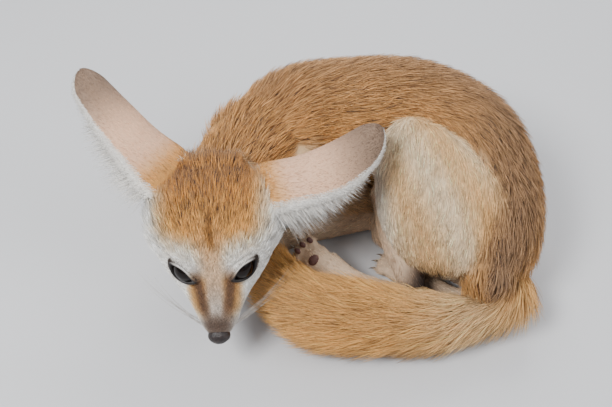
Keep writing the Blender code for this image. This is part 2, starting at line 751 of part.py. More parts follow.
def build_fringe(ear_name, label, grow=0.0):
    """The long white hair inside an ear: a strip along the inner wall with locks across the opening."""
    spec = EARS[ear_name]
    side = spec["fringe_side"]
    draw = random.Random(FRINGE_SEED)
    rows = 5
    start, end = FRINGE_SPAN
    near, far = FRINGE_ACROSS
    vertices = []
    for inset in (EAR_WALL - grow, EAR_WALL + FRINGE_STRIP + grow):
        for r in range(rows + 1):
            share = start + (end - start) * r / rows
            for c in range(3):
                across = side * (near + (far - near) * c / 2)
                vertices.append(ear_point(spec, share, across, inset))
    strip = make_object(label, vertices, shell_faces(rows, 2), "pale")
    locks = []
    for k in range(FRINGE_LOCKS):
        share = start + (end - start) * (k + 0.5) / FRINGE_LOCKS
        axis, opens, _ = ear_frame(spec, share)
        root = ear_point(spec, share, side * 0.5 * (near + far), EAR_WALL + 0.5 * FRINGE_STRIP)
        inward = (ear_point(spec, share, side * 0.5 * (near + far), 0.01) - root).normalized()
        length = FRINGE_LENGTH * draw.uniform(0.8, 1.15) * (1 - 0.45 * k / FRINGE_LOCKS)
        along = (opens + axis * (0.55 * k / FRINGE_LOCKS + draw.uniform(-0.1, 0.1)) + inward * 0.10).normalized()
        path = [root + along * length * t + inward * FRINGE_BOW * math.sin(math.pi * t) for t in LOCK_SHARES]
        breadth = along.cross(inward).normalized()
        normal = along.cross(breadth).normalized()
        locks.append(lock("fringe", path, breadth, normal, FRINGE_WIDTH, 0.8 * LOCK_THICKNESS, grow))
    return unite(strip, locks)


def shell_faces(rows, columns):
    """Triangles of a two-layer grid, split alike on both layers and closed round the edge."""
    layer = (rows + 1) * (columns + 1)
    faces = []
    for r in range(rows):
        for c in range(columns):
            a = r * (columns + 1) + c
            b = a + 1
            d = a + columns + 1
            e = d + 1
            faces += [(a, b, e), (a, e, d)]
            faces += [(layer + a, layer + e, layer + b), (layer + a, layer + d, layer + e)]
    loop = list(range(columns + 1))
    loop += [r * (columns + 1) + columns for r in range(1, rows + 1)]
    loop += [rows * (columns + 1) + c for c in range(columns - 1, -1, -1)]
    loop += [r * (columns + 1) for r in range(rows - 1, 0, -1)]
    for k, a in enumerate(loop):
        b = loop[(k + 1) % len(loop)]
        faces.append((a, layer + a, layer + b, b))
    return faces


def paw_toes(name, grow):
    """The palm and four toes of one paw."""
    spec = PAWS[name]
    toes = Vector(spec["toes"]).normalized()
    back = Vector(spec["back"])
    back = (back - back.dot(toes) * toes).normalized()
    side = toes.cross(back)
    palm = Vector(spec["palm"])
    pieces = [ellipsoid(name + "_palm", palm, (toes, side, back),
                        (0.0120 + grow, 0.0115 + grow, 0.0070 + grow), rings=4, sides=8)]
    for k in range(4):
        spread = (k - 1.5) / 1.5
        reach = 0.0120 - 0.0026 * abs(spread)
        tip = palm + toes * reach + side * spread * 0.0078
        point = (toes + side * spread * 0.22).normalized()
        pieces.append(ellipsoid(name + "_toe", tip, (point, side, back),
                                (0.0066 + grow, 0.0038 + grow, 0.0048 + grow), rings=4, sides=6))
    return pieces


def region(name, cuts, index):
    """A large block between two thin cuts, for one length of a divided part."""
    reach = 0.5
    blocks = []
    if index > 0:
        point, along = cuts[index - 1]
        along = Vector(along).normalized()
        centre = Vector(point) - along * (reach / 2 - GAP / 2)
        blocks.append(block(name + "_before", centre, (reach, 1, 1), x_axis=along, y_axis=(0, 0, 1)))
    if index < len(cuts):
        point, along = cuts[index]
        along = Vector(along).normalized()
        centre = Vector(point) + along * (reach / 2 - GAP / 2)
        blocks.append(block(name + "_after", centre, (reach, 1, 1), x_axis=along, y_axis=(0, 0, 1)))
    return blocks


def copy_object(source, name):
    """A second object with its own mesh."""
    mesh = source.data.copy()
    made = bpy.data.objects.new(name, mesh)
    bpy.context.scene.collection.objects.link(made)
    return made


def part_lengths(whole, names, cuts):
    """Divide a long part by thin cuts into the named lengths."""
    parts = []
    for index, name in enumerate(names):
        length = copy_object(whole, name)
        for cutter in region(name, cuts, index):
            cut(length, cutter)
        parts.append(length)
    remove_object(whole)
    return parts


def cut_clear(target, guides):
    """Cut a solid clear of the swollen, uncut ones made before it."""
    for guide in guides:
        if boxes_meet(target, guide):
            cut(target, guide, drop=False)


def boxes_meet(first, second):
    """Whether the boxes of two objects overlap."""
    low_a, high_a = object_box(first)
    low_b, high_b = object_box(second)
    return bool(np.all(low_a < high_b) and np.all(low_b < high_a))


def object_box(item):
    """Lowest and highest corners of a mesh."""
    places = np.empty(len(item.data.vertices) * 3, dtype=np.float32)
    item.data.vertices.foreach_get("co", places)
    places = places.reshape(-1, 3)
    return places.min(axis=0), places.max(axis=0)


def cut_at_floor(target):
    """Flatten whatever reaches below the floor."""
    low, _ = object_box(target)
    if low[2] < 0:
        cut(target, block("floor", (0, 0, -FLOOR_DEPTH / 2), (1, 1, FLOOR_DEPTH)))


def settle_at_origin(parts):
    """Move the fox so that the origin is the middle of its base."""
    lows, highs = zip(*[object_box(part) for part in parts])
    low = np.min(lows, axis=0)
    high = np.max(highs, axis=0)
    shift = np.array([(low[0] + high[0]) / 2, (low[1] + high[1]) / 2, low[2]])
    for part in parts:
        places = np.empty(len(part.data.vertices) * 3, dtype=np.float32)
        part.data.vertices.foreach_get("co", places)
        moved = (places.reshape(-1, 3) - shift).astype(np.float32)
        part.data.vertices.foreach_set("co", moved.ravel())
        part.data.update()
    print("origin moved by", [round(float(v), 5) for v in shift])


def uncut_solid(name, label, grow=0.0):
    """A part before its neighbours are cut from it, swollen by an even amount."""
    if name == "head":
        return unite(build_head(label, grow), cheek_locks(grow))
    if name in FRINGES:
        return build_fringe(FRINGES[name], label, grow)
    if name in EARS:
        return build_ear(name, label, grow)
    if name in HAUNCHES:
        return flat_form(label, HAUNCHES[name], grow)
    if name in LIMBS:
        return build_limb(name, label, grow)
    if name == "neck":
        return unite(rounded_tube(label, NECK, sides=12, grow=grow), nape_locks(grow))
    if name == "torso":
        return rounded_tube(label, TORSO, sides=16, grow=grow)
    return build_tail(label)


def tail_place(rows, lengths, along, angle, outer_share):
    """A point of the tail: a length along it, an angle round it, and a share of the coat's depth."""
    centre = np.array([np.interp(along, lengths, rows[:, c]) for c in range(5)])
    step = 0.002
    ahead = np.array([np.interp(along + step, lengths, rows[:, c]) for c in range(3)])
    behind = np.array([np.interp(along - step, lengths, rows[:, c]) for c in range(3)])
    tangent = Vector(ahead - behind).normalized()
    side = tangent.cross(Vector((0, 0, 1))).normalized()
    rise = side.cross(tangent)
    width = TAIL_SKIN + (centre[3] - TAIL_SKIN) * outer_share
    height = TAIL_SKIN + (centre[4] - TAIL_SKIN) * outer_share
    place = Vector(centre[:3]) + side * width * math.cos(angle) + rise * height * math.sin(angle)
    outward = (side * math.cos(angle) + rise * math.sin(angle)).normalized()
    return place, outward, tangent


def build_tail(label):
    """A core half way out through the coat, and overlapping locks from it to the coat's tips."""
    core_rows = [(x, y, z, 0.5 * (w + TAIL_SKIN), 0.5 * (h + TAIL_SKIN)) for x, y, z, w, h in TAIL]
    core = rounded_tube(label, core_rows, sides=10, finish="tail")
    rows = smooth_stations(TAIL, 4)
    steps = np.linalg.norm(np.diff(rows[:, :3], axis=0), axis=1)
    lengths = np.concatenate([[0.0], np.cumsum(steps)])
    draw = random.Random(TAIL_SEED)
    locks = []
    start = TAIL_FIRST_ROW
    row = 0
    while start < lengths[-1] - TAIL_LAST_GAP:
        girth = float(np.interp(start, lengths, rows[:, 3]))
        count = max(5, round(TAIL_LOCKS_AROUND * min(1.0, girth / TAIL_FULL_GIRTH)))
        for k in range(count):
            angle = 2 * math.pi * (k + 0.5 * (row % 2)) / count + draw.uniform(-0.12, 0.12)
            length = TAIL_LOCK_LENGTH * draw.uniform(0.85, 1.1) * (0.45 + 0.55 * girth / TAIL_FULL_GIRTH)
            first = start + draw.uniform(-0.003, 0.003)
            path = []
            for share, depth in ((0.0, 0.10), (0.40, 0.66), (0.75, 0.90), (1.0, 1.0)):
                along = min(first + length * share, lengths[-1] + 0.004)
                place, outward, tangent = tail_place(rows, lengths, along, angle, depth)
                path.append(place)
                if share == 0.40:
                    normal = outward
                    ahead = tangent
            breadth = ahead.cross(normal).normalized()
            width = TAIL_LOCK_WIDTH * (0.4 + 0.6 * girth / TAIL_FULL_GIRTH)
            locks.append(lock("tail_lock", path, breadth, normal, width, LOCK_THICKNESS * 1.6, finish="tail"))
        start += TAIL_ROW_STEP
        row += 1
    return unite(core, locks)


def build_limb(name, label, grow=0.0):
    """One length of a leg, with its toes where it ends in a paw."""
    spec = LIMBS[name]
    limb = rounded_tube(label, spec["stations"], up=spec["up"], sides=spec["sides"], steps=1, grow=grow)
    if name in PAWS:
        unite(limb, paw_toes(name, grow))
    return limb


def build_eyes_and_nose():
    """The eyeballs and the bare nose with its nostrils."""
    eyes = [build_eye(side, label) for side, label in ((1, "left_eye"), (-1, "right_eye"))]
    nose = build_nose("nose")
    for side in (1, -1):
        cut(nose, build_nostril(side, "nostril"))
    return eyes + [nose]


def finish_head():
    """The head with lids, sockets, the line of the mouth and the seat of the nose."""
    head = uncut_solid("head", "head")
    unite(head, [build_lid_mound(side, "lid") for side in (1, -1)])
    for side in (1, -1):
        socket = unite(build_eye(side, "socket", GAP), [build_lid_opening(side, "opening")])
        cut(head, socket)
    cut(head, mouth_groove("lips"))
    cut(head, build_nose("nose_seat", GAP))
    return head


def build_fox():
    """Make every part in turn, each cut clear of those made before it."""
    parts = build_eyes_and_nose()
    parts.append(finish_head())
    guides = [uncut_solid("head", "head_guide", GAP)]
    for name in [*EARS, *FRINGES, *HAUNCHES, *LIMBS, "neck", "torso", "tail"]:
        part = uncut_solid(name, name)
        cut_at_floor(part)
        cut_clear(part, guides)
        if name != "tail":
            guides.append(uncut_solid(name, name + "_guide", GAP))
        if name in DIVIDED:
            parts += part_lengths(part, *DIVIDED[name])
        else:
            parts.append(part)
    for guide in guides:
        remove_object(guide)
    return parts


def main():
    clear_scene()
    settle_at_origin(build_fox())


main()
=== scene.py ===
# %% [markdown]
# # A fennec fox, curled up on the floor
#
# The fox lies on its belly with its spine bent round, its head low and its brush drawn in front.
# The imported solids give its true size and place. This lesson dresses them: one skin under the coat,
# the coat itself as many thousands of small tapered tufts, thin cupped ears, wet eyes and a nose.
# Every value is in metres, in one working frame, which is laid over the solids at the left eye.

# %% Load the solids
import math

import bmesh
import bpy
import numpy as np
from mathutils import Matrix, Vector
from mathutils.bvhtree import BVHTree
from mathutils.kdtree import KDTree


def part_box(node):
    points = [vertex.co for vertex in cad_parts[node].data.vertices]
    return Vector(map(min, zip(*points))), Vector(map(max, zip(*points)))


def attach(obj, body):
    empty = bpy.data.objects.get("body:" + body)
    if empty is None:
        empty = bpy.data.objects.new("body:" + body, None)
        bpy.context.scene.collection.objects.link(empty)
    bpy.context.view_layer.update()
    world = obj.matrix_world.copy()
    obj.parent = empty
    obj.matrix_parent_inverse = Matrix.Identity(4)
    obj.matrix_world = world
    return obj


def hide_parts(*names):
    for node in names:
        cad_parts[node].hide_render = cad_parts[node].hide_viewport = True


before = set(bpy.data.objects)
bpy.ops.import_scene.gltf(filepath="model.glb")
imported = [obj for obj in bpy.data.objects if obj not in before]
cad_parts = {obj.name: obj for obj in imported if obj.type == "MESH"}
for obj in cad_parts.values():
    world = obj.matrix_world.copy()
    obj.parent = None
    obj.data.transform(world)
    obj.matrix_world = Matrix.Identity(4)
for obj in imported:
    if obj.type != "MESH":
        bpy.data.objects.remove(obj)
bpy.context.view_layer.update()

DRAW = np.random.default_rng(29)
print("solids:", len(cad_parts), "nodes")

# %% [markdown]
# ## The head's own axes
#
# A face is easiest to describe from the tip of the nose: so far to the fox's left, so far back along
# the skull, so far up. The eyes are placed that way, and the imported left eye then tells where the
# working frame lies in the world.

# %% Head axes and the working frame


def unit(vectors):
    """Vectors divided by their lengths."""
    vectors = np.asarray(vectors, dtype=float)
    return vectors / np.maximum(np.linalg.norm(vectors, axis=-1, keepdims=True), 1e-9)


NOSE_TIP = np.array((-0.0519, -0.1012, 0.0319))
HEAD_BACK = unit((-0.05, 0.78, 0.62))
HEAD_UP = np.array((-0.02, -0.62, 0.785))
HEAD_UP = unit(HEAD_UP - HEAD_UP.dot(HEAD_BACK) * HEAD_BACK)
HEAD_LEFT = unit(np.cross(HEAD_BACK, HEAD_UP))
HEAD_LEFT = HEAD_LEFT * np.sign(HEAD_LEFT[0])


def head_place(side, back, rise):
    """Nose tip plus so much of the left, back and up directions of the head."""
    side, back, rise = [np.asarray(v, dtype=float)[..., None] for v in (side, back, rise)]
    return NOSE_TIP + HEAD_LEFT * side + HEAD_BACK * back + HEAD_UP * rise


def head_numbers(places):
    """The side, back and rise of points, by their products with the three axes."""
    away = places - NOSE_TIP
    return away @ HEAD_LEFT, away @ HEAD_BACK, away @ HEAD_UP


EYE_BACK = 0.0435
EYE_SIDE = 0.0176
EYE_RISE = 0.0125
EYE_RADIUS = 0.0088
EYE_SHOWING = 0.0046
# Outward direction as shares of left, back and up
EYE_FACING = (0.50, -0.56, 0.66)
# Side and back of the inner and the outer corner of the lids
LID_CORNERS = ((0.0094, 0.0376), (0.0263, 0.0515))


def eye_axes(side):
    """Outward, along the lids from inner to outer corner, and across the lids."""
    left, back, up = EYE_FACING
    outward = unit(HEAD_LEFT * side * left + HEAD_BACK * back + HEAD_UP * up)
    inner, outer = [head_place(side * aside, behind, 0.0) for aside, behind in LID_CORNERS]
    along = outer - inner
    along = unit(along - along.dot(outward) * outward)
    return outward, along, np.cross(outward, along)


def eye_centre(side):
    """The middle of the eyeball, sunk below the face so that only its front shows."""
    on_face = head_place(side * EYE_SIDE, EYE_BACK, EYE_RISE)
    return on_face - eye_axes(side)[0] * (EYE_RADIUS - EYE_SHOWING)


SHIFT = np.array(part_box("left_eye")).mean(axis=0) - eye_centre(1)
print("working frame to world:", SHIFT.round(5).tolist())

# %% [markdown]
# ## Surfaces from rows of sections
#
# The fox is a few rounded forms: tubes along the spine, legs and brush, flat round haunches, and the
# skull. Each is a grid of rings closed by a pole at both ends. The coat needs more than the shape:
# every point also carries the way its hair lies, its place along and round the form, and which part
# of the body it is on, so that colours and lengths can be looked up from it later.

# %% Curves, rings and forms
PARTS = ["head", "neck", "torso", "thigh", "leg", "upper_arm", "paw", "tail"]
TILES = 6
forms = []


def smooth_rows(rows, steps):
    """A Catmull-Rom curve through rows of numbers: a cubic in the share between each pair."""
    rows = np.array(rows, dtype=float)
    padded = np.vstack([2 * rows[0] - rows[1], rows, 2 * rows[-1] - rows[-2]])
    a, b, c, d = [padded[k:len(padded) - 3 + k, None, :] for k in range(4)]
    t = (np.arange(steps) / steps)[None, :, None]
    curve = 0.5 * (2 * b + (c - a) * t + (2 * a - 5 * b + 4 * c - d) * t ** 2
                   + (3 * b - a - 3 * c + d) * t ** 3)
    return np.vstack([curve.reshape(-1, rows.shape[1]), rows[-1]])


def ring_faces(rings, sides):
    """Quads between neighbouring rings, and triangles to the pole point at each end."""
    r, s = np.meshgrid(np.arange(rings - 1), np.arange(sides), indexing="ij")
    n = (s + 1) % sides
    here, ahead = r * sides, (r + 1) * sides
    quads = np.stack([here + s, here + n, ahead + n, ahead + s], axis=-1)
    s = np.arange(sides)
    n = (s + 1) % sides
    end = (rings - 1) * sides
    first = np.stack([np.full(sides, rings * sides), n, s], axis=-1)
    last = np.stack([np.full(sides, rings * sides + 1), end + s, end + n], axis=-1)
    return quads.reshape(-1, 4).tolist() + first.tolist() + last.tolist()


def add_form(part, rings, poles, lie):
    """Keep a closed form with its part, its lie of the hair and its numbers along and around."""
    count, sides = rings.shape[:2]
    along, around = np.meshgrid(np.linspace(0, 1, count), np.arange(sides) / sides, indexing="ij")
    places = np.vstack([rings.reshape(-1, 3), poles])
    numbers = np.stack([along, around], axis=-1).reshape(-1, 2)
    numbers = np.vstack([numbers, [[0, 0], [1, 0]]])
    lies = np.vstack([lie.reshape(-1, 3), lie[0, 0], lie[-1, 0]])
    forms.append(dict(part=PARTS.index(part), places=places, faces=ring_faces(count, sides),
                      lie=unit(lies), numbers=numbers))


def tube(part, stations, inset, up=(0, 0, 1), sides=36, steps=8, flow=1):
    """A tube: at each row an oval in the plane across the path, closed by half-round ends.

    A point is the centre plus side times the half width times the cosine of the angle round the
    tube, plus rise times the half height times its sine. The coat's depth is taken off both sizes.
    """
    rows = smooth_rows(stations, steps)
    centres = rows[:, :3]
    width = rows[:, 3] - inset
    height = rows[:, 4] - inset
    ahead = unit(np.gradient(centres, axis=0))
    side = unit(np.cross(ahead, np.array(up, dtype=float)))
    rise = np.cross(side, ahead)
    angles = np.linspace(0, 2 * np.pi, sides, endpoint=False)
    oval = (side[:, None] * (width[:, None] * np.cos(angles))[..., None]
            + rise[:, None] * (height[:, None] * np.sin(angles))[..., None])
    turns = np.linspace(0, 0.5 * np.pi, 6)[1:-1]
    start = min(width[0], height[0])
    end = min(width[-1], height[-1])
    front = [centres[0] - ahead[0] * math.sin(t) * start + oval[0] * math.cos(t) for t in turns[::-1]]
    back = [centres[-1] + ahead[-1] * math.sin(t) * end + oval[-1] * math.cos(t) for t in turns]
    rings = np.stack(front + list(centres[:, None] + oval) + back)
    extra = len(turns)
    heading = np.vstack([np.repeat(ahead[:1], extra, axis=0), ahead, np.repeat(ahead[-1:], extra, axis=0)])
    poles = np.array([centres[0] - ahead[0] * start, centres[-1] + ahead[-1] * end])
    add_form(part, rings, poles, np.repeat(heading[:, None] * flow, sides, axis=1))


def flat_form(part, centre, faces, thickness, outline, lie, inset, rings=24, sides=48):
    """A flat stone: the outline's radius times the sine, and the thickness times the cosine, of the
    angle from the middle of its broad face."""
    normal = unit(faces)
    right = unit(np.array((1, 0, 0)) - normal[0] * normal)
    above = np.cross(normal, right)
    corners = [(a - 360, r) for a, r in outline] + outline + [(a + 360, r) for a, r in outline]
    curve = smooth_rows(corners, 8)
    turn = np.linspace(0, 2 * np.pi, sides, endpoint=False)
    radius = np.interp(np.degrees(turn), curve[:, 0], curve[:, 1]) - inset
    polar = (np.pi * np.arange(1, rings) / rings)[:, None]
    spread = radius * np.sin(polar)
    lift = (thickness - inset) * np.cos(polar) * np.ones(sides)
    middle = np.array(centre, dtype=float)
    places = (middle + right * (spread * np.cos(turn))[..., None]
              + above * (spread * np.sin(turn))[..., None] + normal * lift[..., None])
    poles = np.array([middle + normal * (thickness - inset), middle - normal * (thickness - inset)])
    add_form(part, places, poles, np.broadcast_to(unit(lie), places.shape).copy())


def ball_rings(centre, axes, radii, rings, sides):
    """A stretched ball: the radii times the sine and cosine of two angles, along three axes."""
    u, v, w = [unit(axis) for axis in axes]
    polar = (np.pi * np.arange(1, rings) / rings)[:, None]
    turn = np.linspace(0, 2 * np.pi, sides, endpoint=False)
    places = (np.array(centre) + u * (radii[0] * np.sin(polar) * np.cos(turn))[..., None]
              + v * (radii[1] * np.sin(polar) * np.sin(turn))[..., None]
              + w * (radii[2] * np.cos(polar) * np.ones(sides))[..., None])
    return places, np.array([centre + w * radii[2], centre - w * radii[2]])


def ball(part, centre, axes, radii, lie):
    """A stretched ball of a palm or a toe."""
    places, poles = ball_rings(centre, axes, radii, 10, 16)
    add_form(part, places, poles, np.broadcast_to(unit(lie), places.shape).copy())

# %% [markdown]
# ## The skull
#
# The muzzle is narrow and the cheeks are wide, so the head is a row of ovals that grows quickly
# behind the eyes. Small hills raise the whisker pads, the cheeks and the brows, and a shallow dent
# takes each eye. Hair on a fox's face starts at the nose, runs back over the skull and spreads out
# over the cheeks, and it parts round the eyes.

# %% Head
HEAD_PROFILE = [
    (0.0020, 0.0058, 0.0050, 0.0056), (0.0060, 0.0084, 0.0072, 0.0088), (0.0130, 0.0124, 0.0086, 0.0118),
    (0.0210, 0.0160, 0.0096, 0.0138), (0.0285, 0.0202, 0.0112, 0.0156), (0.0360, 0.0256, 0.0146, 0.0174),
    (0.0440, 0.0308, 0.0196, 0.0192), (0.0520, 0.0348, 0.0240, 0.0212), (0.0600, 0.0380, 0.0268, 0.0230),
    (0.0700, 0.0402, 0.0280, 0.0242), (0.0800, 0.0398, 0.0272, 0.0242), (0.0900, 0.0358, 0.0240, 0.0226),
    (0.0990, 0.0276, 0.0190, 0.0190),
]
HEAD_DEPTH_BACKS = (0.0, 0.009, 0.022, 0.050, 0.070, 0.110)
HEAD_DEPTHS = (0.0019, 0.0015, 0.0010, 0.0018, 0.0032, 0.0044)
HEAD_SIDES = 96
HEAD_REAR = 0.009
EYE_DENT = 0.0052
# Half length and half height of the dent that takes an eye
EYE_DENT_SIZE = (0.0120, 0.0078)


def hill(x, y, centre_x, centre_y, spread):
    """A smooth round hill of height one: the exponential of minus the squared distance."""
    return np.exp(-((x - centre_x) ** 2 + (y - centre_y) ** 2) / (2 * spread ** 2))


def skull(back, angle, width, top, bottom):
    """Side and rise of the head at an angle round it: a slightly square oval with hills added."""
    cosine = np.cos(angle)
    side = width * np.sign(cosine) * np.abs(cosine) ** 0.92
    rise = np.where(np.sin(angle) > 0, top, bottom) * np.sin(angle)
    swell = (0.0012 * hill(back, rise, 0.0100, -0.0040, 0.0045)
             + 0.0016 * hill(back, rise, 0.0640, -0.0060, 0.0120))
    side = side + np.sign(cosine) * swell * np.minimum(1, 2.5 * np.abs(cosine))
    above = rise > 0
    rise = rise + above * 0.0020 * hill(back, np.abs(side), 0.0500, 0.0130, 0.0065)
    return side, rise - above * 0.0012 * hill(back, side, 0.0400, 0.0, 0.0060)


def dent_eyes(places):
    """Push points near an eye inward: the dent times one minus the squared distance, raised to 0.7."""
    places = places.copy()
    for side in (1, -1):
        outward, along, across = eye_axes(side)
        away = places - eye_centre(side)
        near = ((away @ along) / EYE_DENT_SIZE[0]) ** 2 + ((away @ across) / EYE_DENT_SIZE[1]) ** 2
        near = np.clip(1 - near, 0, 1) * (away @ outward > 0)
        places -= outward * (EYE_DENT * near ** 0.7)[..., None]
    return places


profile = smooth_rows(HEAD_PROFILE, 7)
inset = np.interp(profile[:, 0], HEAD_DEPTH_BACKS, HEAD_DEPTHS)
turn = np.linspace(0, 2 * np.pi, HEAD_SIDES, endpoint=False)
side, rise = skull(profile[:, :1], turn, *[profile[:, k:k + 1] - inset[:, None] for k in (1, 2, 3)])
rings = head_place(side, profile[:, :1] + 0 * side, rise)
tilt = np.linspace(0, 0.5 * np.pi, 8)[1:-1]
rear_back = profile[-1, 0] + 0 * side[-1]
rear = [head_place(side[-1] * math.cos(t), rear_back + HEAD_REAR * math.sin(t), rise[-1] * math.cos(t))
        for t in tilt]
rings = dent_eyes(np.concatenate([rings, np.stack(rear)]))
side, back, rise = head_numbers(rings)
spread = np.interp(back, (0.0, 0.02, 0.05, 0.075, 0.10), (0.10, 0.16, 0.42, 0.62, 0.30))
face_lie = HEAD_BACK + unit(HEAD_LEFT * side[..., None] + HEAD_UP * rise[..., None]) * spread[..., None]
for eye_side in (1, -1):
    away = rings - eye_centre(eye_side)
    reach = np.exp(-(np.linalg.norm(away, axis=-1) / 0.0125) ** 4)
    face_lie = face_lie + 1.1 * reach[..., None] * unit(away)
head_poles = np.array([head_place(0, 0.0004, 0), head_place(0, profile[-1, 0] + HEAD_REAR, 0)])
add_form("head", rings, head_poles, face_lie)
print("head rings:", rings.shape)

# %% [markdown]
# ## Body, legs, haunches and brush
#
# The rows are the same named places that the solids were made from. Each form is made thinner by the
# depth of its coat there, so the tips of the hair end where the real outline is.

# %% Body rows
NECK = [(-0.028, 0.036, 0.058, 0.033, 0.035), (-0.045, 0.005, 0.066, 0.030, 0.032),
        (-0.054, -0.022, 0.073, 0.029, 0.028)]
TORSO = [(-0.036, 0.035, 0.054, 0.036, 0.040), (-0.010, 0.052, 0.051, 0.043, 0.054),
         (0.028, 0.062, 0.050, 0.047, 0.054), (0.073, 0.059, 0.051, 0.046, 0.055),
         (0.108, 0.038, 0.050, 0.042, 0.052), (0.119, 0.001, 0.044, 0.040, 0.047),
         (0.121, -0.032, 0.037, 0.033, 0.040), (0.118, -0.052, 0.032, 0.022, 0.026)]
TAIL = [(0.1330, -0.0500, 0.0290, 0.0110, 0.0110), (0.1300, -0.0610, 0.0250, 0.0115, 0.0120),
        (0.1170, -0.0675, 0.0210, 0.0125, 0.0140), (0.0999, -0.0745, 0.0190, 0.0145, 0.0165),
        (0.0805, -0.0789, 0.0190, 0.0175, 0.0190), (0.0609, -0.0795, 0.0205, 0.0205, 0.0215),
        (0.0350, -0.0792, 0.0235, 0.0250, 0.0245), (0.0119, -0.0755, 0.0240, 0.0250, 0.0250),
        (-0.0058, -0.0640, 0.0220, 0.0205, 0.0230), (-0.0184, -0.0470, 0.0180, 0.0145, 0.0180),
        (-0.0250, -0.0330, 0.0130, 0.0075, 0.0110)]
TAIL_SKIN = 0.0080
NECK_DEPTH, TORSO_DEPTH = 0.0042, 0.0044
tube("neck", NECK, NECK_DEPTH, flow=-1)
tube("torso", TORSO, TORSO_DEPTH, sides=64)
tube("tail", [(x, y, z, 0.5 * (w + TAIL_SKIN), 0.5 * (h + TAIL_SKIN)) for x, y, z, w, h in TAIL], 0.0)
flat_form("thigh", (0.0900, -0.0190, 0.0620), (-0.16, -0.60, 0.78), 0.0245,
          [(0, 0.045), (45, 0.040), (75, 0.044), (100, 0.056), (116, 0.066), (138, 0.060), (165, 0.050),
           (200, 0.046), (235, 0.047), (270, 0.048), (315, 0.047)], (-0.05, -0.80, -0.60), 0.0030)
flat_form("thigh", (0.1080, -0.0050, 0.0220), (0.3, 0.2, 1.0), 0.0230,
          [(a, 0.036) for a in range(0, 360, 60)], (-0.3, -0.9, -0.2), 0.0035)
LEGS = [
    ("leg", (-0.2, -0.6, 0.75), 0.0018, [
        (0.0600, 0.0000, 0.0500, 0.0180, 0.0150), (0.0625, -0.0240, 0.0370, 0.0160, 0.0135),
        (0.0670, -0.0440, 0.0260, 0.0120, 0.0110), (0.0680, -0.0560, 0.0210, 0.0100, 0.0100)]),
    ("paw", (0.1, -0.5, 0.85), 0.0012, [
        (0.0660, -0.0560, 0.0130, 0.0085, 0.0080), (0.0480, -0.0500, 0.0110, 0.0080, 0.0075),
        (0.0300, -0.0430, 0.0120, 0.0090, 0.0075), (0.0150, -0.0350, 0.0150, 0.0120, 0.0080)]),
    ("leg", (0, 0, 1), 0.0018, [
        (0.0560, -0.0050, 0.0170, 0.0125, 0.0160), (0.0760, -0.0180, 0.0140, 0.0110, 0.0130),
        (0.1040, -0.0360, 0.0110, 0.0095, 0.0110), (0.1200, -0.0460, 0.0090, 0.0085, 0.0095)]),
    ("paw", (0, 0, 1), 0.0012, [
        (0.1200, -0.0560, 0.0075, 0.0085, 0.0080), (0.0980, -0.0530, 0.0065, 0.0085, 0.0070),
        (0.0760, -0.0400, 0.0065, 0.0100, 0.0075)]),
    ("upper_arm", (0, 0, 1), 0.0040, [
        (-0.0080, 0.0240, 0.0560, 0.0210, 0.0260), (0.0160, 0.0160, 0.0380, 0.0180, 0.0240),
        (0.0430, 0.0130, 0.0220, 0.0120, 0.0160)]),
    ("leg", (0, 0, 1), 0.0018, [
        (0.0470, 0.0110, 0.0160, 0.0120, 0.0130), (0.0280, 0.0055, 0.0140, 0.0105, 0.0115),
        (0.0060, -0.0010, 0.0120, 0.0090, 0.0100), (-0.0120, -0.0070, 0.0105, 0.0085, 0.0095)]),
    ("paw", (0, 0, 1), 0.0012, [
        (-0.0170, -0.0090, 0.0090, 0.0090, 0.0090), (-0.0300, -0.0130, 0.0085, 0.0115, 0.0085),
        (-0.0400, -0.0160, 0.0075, 0.0110, 0.0075)]),
    ("upper_arm", (0, 0, 1), 0.0040, [
        (-0.0300, 0.0620, 0.0460, 0.0180, 0.0240), (-0.0160, 0.0780, 0.0320, 0.0160, 0.0220),
        (-0.0020, 0.0870, 0.0180, 0.0120, 0.0150)]),
    ("leg", (0, 0, 1), 0.0018, [
        (-0.0060, 0.0840, 0.0120, 0.0115, 0.0120), (-0.0300, 0.0640, 0.0100, 0.0100, 0.0105),
        (-0.0520, 0.0440, 0.0090, 0.0085, 0.0095)]),
    ("paw", (0, 0, 1), 0.0012, [
        (-0.0570, 0.0400, 0.0085, 0.0090, 0.0085), (-0.0680, 0.0300, 0.0085, 0.0115, 0.0085),
        (-0.0750, 0.0230, 0.0075, 0.0110, 0.0075)]),
]
for part, up, inset, stations in LEGS:
    tube(part, stations, inset, up=up, sides=24)

# %% Paws: a palm and four toes each
PAWS = [
    ((0.0070, -0.0310, 0.0180), (-0.72, 0.52, 0.30), (0.25, 0.60, -0.70)),
    ((0.0640, -0.0310, 0.0070), (-0.80, 0.55, 0.0), (0, 0, 1)),
    ((-0.0440, -0.0180, 0.0080), (-0.93, -0.36, 0.0), (0, 0, 1)),
    ((-0.0770, 0.0210, 0.0080), (-0.75, -0.66, 0.0), (0, 0, 1)),
]
PAW_INSET = 0.0008
PALM_RADII = np.array((0.0120, 0.0115, 0.0070)) - PAW_INSET
TOE_RADII = np.array((0.0064, 0.0038, 0.0048)) - PAW_INSET
TOE_SPACING = 0.0078
toe_tips = []
for palm, toes, top in PAWS:
    toes = unit(toes)
    top = unit(np.array(top) - np.dot(top, toes) * toes)
    across = np.cross(toes, top)
    palm = np.array(palm)
    ball("paw", palm, (toes, across, top), PALM_RADII, toes)
    for k in range(4):
        spread = (k - 1.5) / 1.5
        middle = palm + toes * (0.0120 - 0.0026 * abs(spread)) + across * spread * TOE_SPACING
        point = unit(toes + across * spread * 0.22)
        ball("paw", middle, (point, across, top), TOE_RADII, point)
        toe_tips.append((middle + point * 0.0052, point, top, across))
print("forms:", len(forms), "toes:", len(toe_tips))

